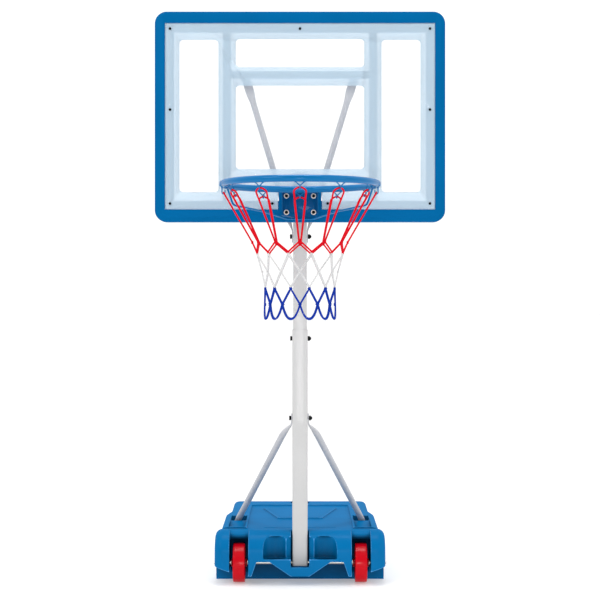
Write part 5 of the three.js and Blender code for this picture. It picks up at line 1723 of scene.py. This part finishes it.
    def build_sheet(self) -> None:
        """The clear sheet with its polished edge, and the frosted print on its back."""
        sheet = prism(self.notched(), "Y", *self.sheet_y)
        carve(sheet, [through_rod(x, z, SCREW_HOLE, self.through_y) for x, z in self.screw_places()])
        soften(sheet, self.sheet_edge)
        sheet.data.materials.clear()
        for finish in (CLEAR_SHEET, SHEET_EDGE):
            sheet.data.materials.append(finish.material())
        for face in sheet.data.polygons:
            face.material_index = 0 if abs(face.normal.y) > self.square_on else 1
        fit(sheet, "clear_panel", CLEAR_SHEET, Body.UPPER, "board_panel")
        film = prism(self.notched(self.print_inset), "Y", *self.print_y)
        x0, x1, z0, z1 = self.print_side
        boxes = [self.print_side, (-x1, -x0, z0, z1), self.print_top, self.print_main]
        outlines = [
            rounded((x0, z0), (x1, z1), self.print_corner, self.print_steps) for x0, x1, z0, z1 in boxes]
        carve(film, [prism(outline, "Y", *self.through_y) for outline in outlines])
        fit(film, "frosted_print", FROSTED, Body.UPPER)

    def build_screws(self, rigs: Rigs, hardware: Hardware) -> None:
        """Nine screws, each turned its own way."""
        y = self.sheet_y[0] - SEAT
        spots = enumerate(self.screw_places())
        places = [(Vector((x, y, z)), aim(-BACK, self.screw_spin * number)) for number, (x, z) in spots]
        screws = rigs.copies("sheet_screws", hardware.screw(), places, DARK_STEEL)
        nodes = [f"panel_screw_{number}" for number in range(1, len(places) + 1)]
        fit(screws, "sheet_screws", DARK_STEEL, Body.UPPER, *nodes)

    def build(self, rigs: Rigs, hardware: Hardware) -> None:
        """Frame, sheet, print and screws."""
        self.build_frame()
        self.build_sheet()
        self.build_screws(rigs, hardware)


# Rim and net


@dataclass
class RimPlan:
    """Places on the rim and the net, in turns of one hook from the front to the right."""

    radius: float = 0.226
    tube: float = 0.0101
    y: float = -0.783
    z: float = 1.222
    hooks: int = 12

    def place(self, turn: float, radius: float, z: float, aside: float = 0.0) -> Vector:
        """Place at a turn, a radius, a height and a shift along the rim."""
        angle = 2 * math.pi * turn / self.hooks
        x = radius * math.sin(angle) + aside * math.cos(angle)
        y = self.y - radius * math.cos(angle) + aside * math.sin(angle)
        return Vector((x, y, z))

    def centre(self) -> Vector:
        """Middle of the ring."""
        return Vector((0, self.y, self.z))

    def spins(self) -> Places:
        """A place at the ring's middle for each hook, turned to it."""
        step = 2 * math.pi / self.hooks
        return [(self.centre(), Quaternion(UP, number * step)) for number in range(self.hooks)]


@dataclass
class Rim:
    """Tube ring with wire hooks, its folded bracket, the wire brace and four bolts."""

    plan: RimPlan = field(default_factory=RimPlan)
    tube_facets: int = 24
    ring_facets: int = 160
    hook_wire: float = 0.0016
    hook_half: float = 0.0125
    hook_sunk: float = 0.0006
    neck_drop: float = 0.0205
    crook_drop: float = 0.0245
    crook: float = 0.0045
    tip_rise: float = 0.007
    bead: tuple[Flat, ...] = ((0, -0.0022), (0.0019, -0.0016), (0.0028, 0), (0.0031, 0.0014), (0, 0.0024))
    bead_facets: int = 14
    bead_drop: float = 0.0004
    bead_spin: float = 0.7
    plate_half: float = 0.057
    plate: Flat = (1.134, 1.227)
    plate_y: Flat = (-0.4623, -0.4593)
    plate_corner: float = 0.004
    plate_edge: float = 0.0007
    thick: float = 0.003
    bolt_spin: float = 17.0
    fold: float = 0.0005
    ring_gap: float = 0.0002
    clear_z: Flat = (0.1, 0.05)
    past: float = 0.01
    gusset_rise: float = 0.078
    gusset_tip: float = 0.009
    brace_radius: float = 0.003
    brace_turn: float = 3.66
    brace_drop: float = 0.010
    brace_foot: float = 0.040
    brace_rise: float = 0.002
    brace_bend: float = 0.012
    brace_facets: int = 14
    brace_shares: tuple[Triple, ...] = ((0.913, 0.913, 0.404), (0.442, 0.488, 0.25), (0.116, 0.106, 0.079))

    def build_ring(self) -> None:
        """The ring of tube."""
        plan = self.plan
        circle = [(plan.radius + spot.x, spot.y) for spot in around(self.tube_facets, plan.tube)]
        ring = turned("ring", circle, plan.centre(), UP, self.ring_facets, closed=True)
        fit(shade(ring, ROUND), "ring_tube", RIM_BLUE, Body.UPPER, "rim_ring")

    def build_hooks(self, rigs: Rigs) -> None:
        """Twelve hooks of bent wire, and the weld at each leg's root."""
        plan = self.plan
        root, inner = self.hook_sunk - plan.tube, plan.radius - self.crook
        neck = Vector((0, -plan.radius, -self.neck_drop))
        legs = [[Vector((side * self.hook_half, -plan.radius, root)), neck] for side, _ in SIDES]
        bow = oval((inner, -self.crook_drop), (self.crook, -self.crook), 0, 180, 8)
        crook = [neck + UP * self.hook_wire, *(Vector((0, -radius, z)) for radius, z in bow)]
        crook.append(Vector((0, -inner + self.crook, -self.crook_drop + self.tip_rise)))
        wire = rigs.wires("hook", [*legs, crook], self.hook_wire, RIM_BLUE)
        fit(rigs.copies("hook_wires", wire, plan.spins(), RIM_BLUE), "hook_wires", RIM_BLUE, Body.UPPER)
        z = plan.z + root - self.bead_drop
        places = [
            (plan.place(number, plan.radius, z, side * self.hook_half), Quaternion(UP, self.bead_spin * number))
            for number in range(plan.hooks) for side, _ in SIDES]
        weld = shade(turned("weld", self.bead, facets=self.bead_facets), ROUND)
        fit(rigs.copies("hook_welds", weld, places, RIM_BLUE), "hook_welds", RIM_BLUE, Body.UPPER)

    def build_bracket(self) -> None:
        """Folded bracket from the board to the back of the rim."""
        plan, half, thick = self.plan, self.plate_half, self.thick
        (front, back), (low, high) = self.plate_y, self.plate
        reach, lap, top = plan.y + plan.radius - plan.tube, back - self.fold, plan.z + thick / 2
        plate = prism(rounded((-half, low), (half, high), self.plate_corner, 4), "Y", front, back)
        flange = block((-half, reach, top - thick), (half, lap, top))
        tip = self.gusset_tip / 2
        cheek = [(lap, high), (lap, high - self.gusset_rise), (reach, plan.z - tip), (reach, plan.z + tip)]
        carve(plate, [flange, *(prism(cheek, "X", x, x + thick) for x in (half - thick, -half))], Carve.ADD)
        middle = plan.centre()
        below, above = self.clear_z
        radius = plan.radius + plan.tube + self.ring_gap
        clear = rod(middle - UP * below, middle + UP * above, radius, self.ring_facets)
        span = (front - self.past, back + self.past)
        holes = [through_rod(x, z, RIM_BOLT_HOLE, span) for x, z in sorted(RIM_BOLTS, reverse=True)]
        carve(plate, [clear, *holes])
        fit(soften(plate, self.plate_edge), "bracket_plate", BRACKET_BLUE, Body.UPPER, "rim_bracket")

    def build_brace(self, rigs: Rigs) -> None:
        """Bent wire from both sides of the rim, down to the foot of the bracket."""
        plan, (low, _) = self.plan, self.plate
        foot = Vector((self.brace_foot, self.plate_y[0] - SEAT - self.brace_radius, low + self.brace_rise))
        seat = plan.place(self.brace_turn, plan.radius, plan.z - self.brace_drop)
        rise = seat - foot
        between = [foot + Vector(share * part for share, part in zip(row, rise)) for row in self.brace_shares]
        half = [seat, *between, foot]
        mirrored = [Vector((-point.x, point.y, point.z)) for point in reversed(half)]
        path = bent([*half, *mirrored], self.brace_bend)
        brace = rigs.wires("brace_wire", [path], self.brace_radius, RIM_BLUE, self.brace_facets)
        fit(brace, "brace_wire", RIM_BLUE, Body.UPPER, "rim_brace")

    def build_bolts(self, rigs: Rigs, hardware: Hardware) -> None:
        """Four bolts on their washers."""
        numbers, back = range(1, len(RIM_BOLTS) + 1), self.plate_y[0] - SEAT
        seat = back - hardware.washer_thick - SEAT
        washers = [(Vector((x, back, z)), aim(-BACK)) for x, z in RIM_BOLTS]
        rings = rigs.copies("rim_washer_rings", hardware.washer_ring(), washers, ZINC)
        fit(rings, "rim_washer_rings", ZINC, Body.UPPER, *[f"rim_washer_{k}" for k in numbers])
        heads = [(Vector((x, seat, z)), aim(-BACK, self.bolt_spin * k)) for k, (x, z) in enumerate(RIM_BOLTS)]
        head = hardware.hex_head(hardware.rim_across, hardware.rim_head)
        shank = rod(UP * -hardware.rim_shank, UP * hardware.lap, hardware.rim_bolt, hardware.screw_facets)
        bolt = shade(carve(head, [shank], Carve.ADD), CRISP)
        bolts = rigs.copies("rim_bolt_heads", bolt, heads, DARK_STEEL)
        fit(bolts, "rim_bolt_heads", DARK_STEEL, Body.UPPER, *[f"rim_bolt_{k}" for k in numbers])

    def build(self, rigs: Rigs, hardware: Hardware) -> None:
        """Ring, hooks, bracket, brace and bolts."""
        self.build_ring()
        self.build_hooks(rigs)
        self.build_bracket()
        self.build_brace(rigs)
        self.build_bolts(rigs, hardware)


@dataclass(frozen=True)
class Knots:
    """A ring of drawn-up knots: its name and place, its shift in turns, its size, its cord and its finish."""

    name: str
    ring: Flat
    shift: float
    size: float
    cord: float
    finish: Finish


@dataclass
class Net:
    """Knotted net in three colours: loops on the hooks, legs, a mesh and hanging bows."""

    plan: RimPlan = field(default_factory=RimPlan)
    red: float = 0.0025
    white: float = 0.0023
    blue: float = 0.0027
    loop_half: float = 0.0168
    hook_ring: Flat = (0.2215, 1.1975)
    red_knot: Flat = (0.138, 1.0526)
    red_joint: Flat = (0.1285, 1.0224)
    white_top: Flat = (0.1275, 1.0174)
    white_cross: Flat = (0.1085, 0.9677)
    white_low: Flat = (0.104, 0.924)
    blue_top: Flat = (0.104, 0.919)
    blue_cross: Flat = (0.1005, 0.8735)
    blue_low: Flat = (0.1025, 0.8313)
    loop_shares: tuple[Flat, ...] = (
        (0, 0), (0.01, 0.42), (0.045, 0.85), (0.09, 1), (0.25, 0.85), (0.55, 0.58), (1, 0.14))
    white_under: float = 0.0035
    white_over: float = 0.004
    tight: float = 0.004
    loose: float = 0.012
    run_steps: int = 6
    bow_steps: int = 24
    bow_power: float = 2.2
    knot_steps: int = 36
    knot_rise: float = 1.25
    knot_facets: int = 8
    knot_spins: Flat = (30, 40)
    weave: float = 0.0016

    def turns(self, every: int = 1) -> range:
        """One number for each hook, or for every so many."""
        return range(0, self.plan.hooks, every)

    def red_loop(self, turn: int) -> list[Vector]:
        """Cord that lies in a hook and falls on both sides to its knot."""
        sides = []
        for sign in (-1, 1):
            side = []
            for share, half in self.loop_shares:
                radius, height = (mix(start, end, share) for start, end in zip(self.hook_ring, self.red_knot))
                side.append(self.plan.place(turn, radius, height, sign * half * self.loop_half))
            sides.append(side)
        return curved([*sides[0][::-1], *sides[1][1:]], self.run_steps)

    def red_legs(self) -> list[list[Vector]]:
        """Cord from each knot to the joints on both sides of it."""
        place = self.plan.place
        return [[place(turn, *self.red_knot), place(turn + side, *self.red_joint)]
                for turn in self.turns() for side in (0.5, -0.5)]

    def white_cord(self, first: float, over: float) -> list[Vector]:
        """Endless cord between the red joints and the blue tops, over or under the other one."""
        (top, top_z), (mid, mid_z), (low, low_z) = self.red_joint, self.white_cross, self.blue_top
        shift = over * self.weave
        rings = [(top, top_z - self.white_under), (mid + shift, mid_z), (low, low_z + self.white_over)]
        rings.append((mid - shift, mid_z))
        spots = [
            self.plan.place(first + turn + number / 2, *ring)
            for turn in self.turns(2) for number, ring in enumerate(rings)]
        path = []
        for number, spot in enumerate(spots):
            after = spots[(number + 1) % len(spots)]
            bend = self.loose if number % 2 else self.tight
            path += smooth_corner(spots[number - 1], spot, after, bend, self.run_steps)
        return path

    def blue_cord(self, first: float, over: float) -> list[Vector]:
        """Endless cord that hangs in bows below its crossings."""
        place, shift, path = self.plan.place, over * self.weave, []
        (cross, cross_z), (low, low_z) = self.blue_cross, self.blue_low
        runs = [step / self.run_steps for step in range(self.run_steps)]
        for turn in self.turns(2):
            here = first + turn
            near, far = place(here + 0.5, cross + shift, cross_z), place(here + 1.5, cross - shift, cross_z)
            path += [place(here, *self.blue_top).lerp(near, share) for share in runs]
            for step in range(self.bow_steps + 1):
                share = step / self.bow_steps
                sag = 1 - abs(2 * share - 1) ** self.bow_power
                radius = mix(cross, low, sag) + shift * (1 - 2 * share)
                path.append(place(here + 0.5 + share, radius, mix(cross_z, low_z, sag)))
            path += [far.lerp(place(here + 2, *self.blue_top), share) for share in runs[1:]]
        return path

    def overhand(self, rigs: Rigs, knots: Knots) -> Piece:
        """A small drawn-up knot round the origin."""
        path = []
        for step in range(self.knot_steps):
            t = 2 * math.pi * step / self.knot_steps
            x, y = math.sin(t) + 2 * math.sin(2 * t), math.cos(t) - 2 * math.cos(2 * t)
            path.append(Vector((x, y, -self.knot_rise * math.sin(3 * t))) * knots.size / 3)
        return rigs.wires("overhand", [path], knots.cord, knots.finish, self.knot_facets, endless=True)

    def tie(self, rigs: Rigs, knots: Knots) -> None:
        """A knot at each turn of a ring, drawn up along the net."""
        first, step = self.knot_spins
        places = []
        for number in self.turns():
            spot = self.plan.place(number + knots.shift, *knots.ring)
            outward = (spot - Vector((0, self.plan.y, spot.z))).normalized()
            places.append((spot, aim(outward, first + step * (number % 3))))
        made = rigs.copies(knots.name, self.overhand(rigs, knots), places, knots.finish)
        fit(made, knots.name, knots.finish, Body.UPPER)

    def build(self, rigs: Rigs) -> None:
        """Cords and knots of the three colours."""
        ways = ((0.5, 1), (1.5, -1))
        loops = [self.red_loop(turn) for turn in self.turns()]
        white, blue = [self.white_cord(*way) for way in ways], [self.blue_cord(*way) for way in ways]
        for name, paths, radius, finish, nodes in (
            ("red_loops", loops, self.red, CORD_RED, ("net_red",)),
            ("red_legs", self.red_legs(), self.red, CORD_RED, ()),
            ("white_mesh", white, self.white, CORD_WHITE, ("net_white",)),
            ("blue_bows", blue, self.blue, CORD_BLUE, ("net_blue",)),
        ):
            cord = rigs.wires(name, paths, radius, finish, endless=finish is not CORD_RED)
            fit(cord, name, finish, Body.UPPER, *nodes)
        for knots in (
            Knots("red_knots", self.red_knot, 0.0, 0.0040, 0.0019, CORD_RED),
            Knots("red_joint_knots", self.red_joint, 0.5, 0.0030, 0.0015, CORD_RED),
            Knots("white_top_knots", self.white_top, 0.5, 0.0024, 0.0015, CORD_WHITE),
            Knots("white_cross_knots", self.white_cross, 0.0, 0.0026, 0.0015, CORD_WHITE),
            Knots("white_low_knots", self.white_low, 0.5, 0.0026, 0.0015, CORD_WHITE),
            Knots("blue_top_knots", self.blue_top, 0.5, 0.0032, 0.0018, CORD_BLUE),
            Knots("blue_cross_knots", self.blue_cross, 0.0, 0.0034, 0.0019, CORD_BLUE),
        ):
            self.tie(rigs, knots)


# Studio


@dataclass(frozen=True)
class Lamp:
    """A square soft light: its name, its place, what it is aimed at, its size and its power."""

    name: str
    place: Triple
    target: Triple
    size: float
    power: float


@dataclass
class Studio:
    """Pale floor, soft lights and the level camera of the photograph."""

    camera: Triple = (0.0, -5.423, 0.886)
    image: float = 600.0
    focal: float = 1602.0
    sensor: float = 36.0
    floor: float = 240.0
    sky: float = 1.12
    sky_front: float = 0.4
    falloff: Flat = (-0.85, -0.1)
    lamps: tuple[Lamp, ...] = (
        Lamp("key", (-2.4, -3.6, 3.4), (0, MAST_Y, 0.8), 2.2, 48),
        Lamp("fill", (2.8, -3.2, 2.0), (0, MAST_Y, 0.8), 2.4, 20),
        Lamp("front", (0, -5.0, 0.5), (0, MAST_Y, 0.1), 0.7, 22),
        Lamp("top", (0, -0.5, 4.2), (0, -0.3, 0), 1.4, 52),
    )

    def build_camera(self) -> None:
        """The camera, level and square to the board."""
        data = bpy.data.cameras.new("camera")
        data.sensor_width = self.sensor
        data.lens = self.sensor * self.focal / self.image
        camera = bpy.data.objects.new("camera", data)
        camera.location = self.camera
        camera.rotation_euler = (math.pi / 2, 0, 0)
        bpy.context.scene.collection.objects.link(camera)
        bpy.context.scene.camera = camera

    def build_lights(self) -> None:
        """A key from the upper left, a fill from the right, a low front light and a top light."""
        for lamp in self.lamps:
            data = bpy.data.lights.new(lamp.name, "AREA")
            data.size = lamp.size
            data.energy = lamp.power
            light = bpy.data.objects.new(lamp.name, data)
            light.location = lamp.place
            light.rotation_mode = "QUATERNION"
            light.rotation_quaternion = (Vector(lamp.target) - Vector(lamp.place)).to_track_quat("-Z", "Y")
            light.visible_camera = False
            bpy.context.scene.collection.objects.link(light)

    def build_world(self) -> None:
        """A white surround that falls off behind the camera."""
        world = bpy.data.worlds.new("surround")
        world.use_nodes = True
        bpy.context.scene.world = world
        bench = Bench(world.node_tree)
        bench.tree.nodes.clear()
        heading = bench.add("ShaderNodeTexCoord").outputs["Generated"]
        depth = bench.add("ShaderNodeSeparateXYZ", {0: heading}).outputs["Y"]
        strength = bench.spread(depth, self.falloff, (self.sky_front, self.sky))
        shell = bench.add("ShaderNodeBackground", {"Color": (1, 1, 1, 1), "Strength": strength})
        bench.add("ShaderNodeOutputWorld", {"Surface": shell.outputs[0]})
        bpy.context.scene.view_settings.view_transform = "Standard"

    def build_floor(self) -> None:
        """The floor, which isn't part of the object."""
        bench = bmesh.new()
        half = self.floor / 2
        corners = [(-half, -half), (half, -half), (half, half), (-half, half)]
        bench.faces.new([bench.verts.new((x, y, 0)) for x, y in corners])
        floor = new_piece("floor", bench)
        floor.data.materials.append(FLOOR.material())

    def build(self) -> None:
        """Camera, lights, surround and floor."""
        self.build_camera()
        self.build_lights()
        self.build_world()
        self.build_floor()


def dress_kept_nodes(frame: dict) -> None:
    """Finishes on the nodes whose solids are already right."""
    washers = [f"star_washer_{place}_{side}" for place in ("inner", "outer") for _, side in SIDES]
    screws = [f"{name}_screw_{side}" for name in ("stay", "bar") for _, side in SIDES]
    nuts = [f"rim_nut_{number}" for number in range(1, 5)]
    refinish(frame, ZINC, "axle", *washers, *screws, *nuts)
    refinish(frame, POLE_GREY, "head_plate")
    refinish(frame, SEAL_RUBBER, "fill_cap_seal")


def main() -> None:
    """Loads the frame and builds the scene piece by piece."""
    logging.basicConfig(level=logging.INFO, format="%(name)s: %(message)s")
    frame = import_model()
    Studio().build()
    rigs, hardware, mast, stay, bar = Rigs(), Hardware(), Mast(), Stay(), Bar()
    BaseTank().build()
    FillCap().build(rigs)
    Wheels().build()
    mast.build()
    stay.build("stay_tube", Body.BASE, "stay")
    lower, upper = mast.lower_side / 2, mast.upper_side / 2
    hardware.cross_bolt(rigs, "height", lower, mast.height_z, (Body.HEIGHT_BOLT, Body.HEIGHT_NUT))
    hardware.cross_bolt(rigs, "stay", lower + stay.tab + SEAT, mast.stay_z, (Body.BASE, Body.BASE))
    hardware.cross_bolt(rigs, "bar", upper + bar.tab + SEAT, mast.bar_z, (Body.UPPER, Body.UPPER))
    bar.build("bar_tube", Body.UPPER, "board_bar")
    Board().build(rigs, hardware)
    Rim().build(rigs, hardware)
    Net().build(rigs)
    dress_kept_nodes(frame)


if __name__ == "__main__":
    main()
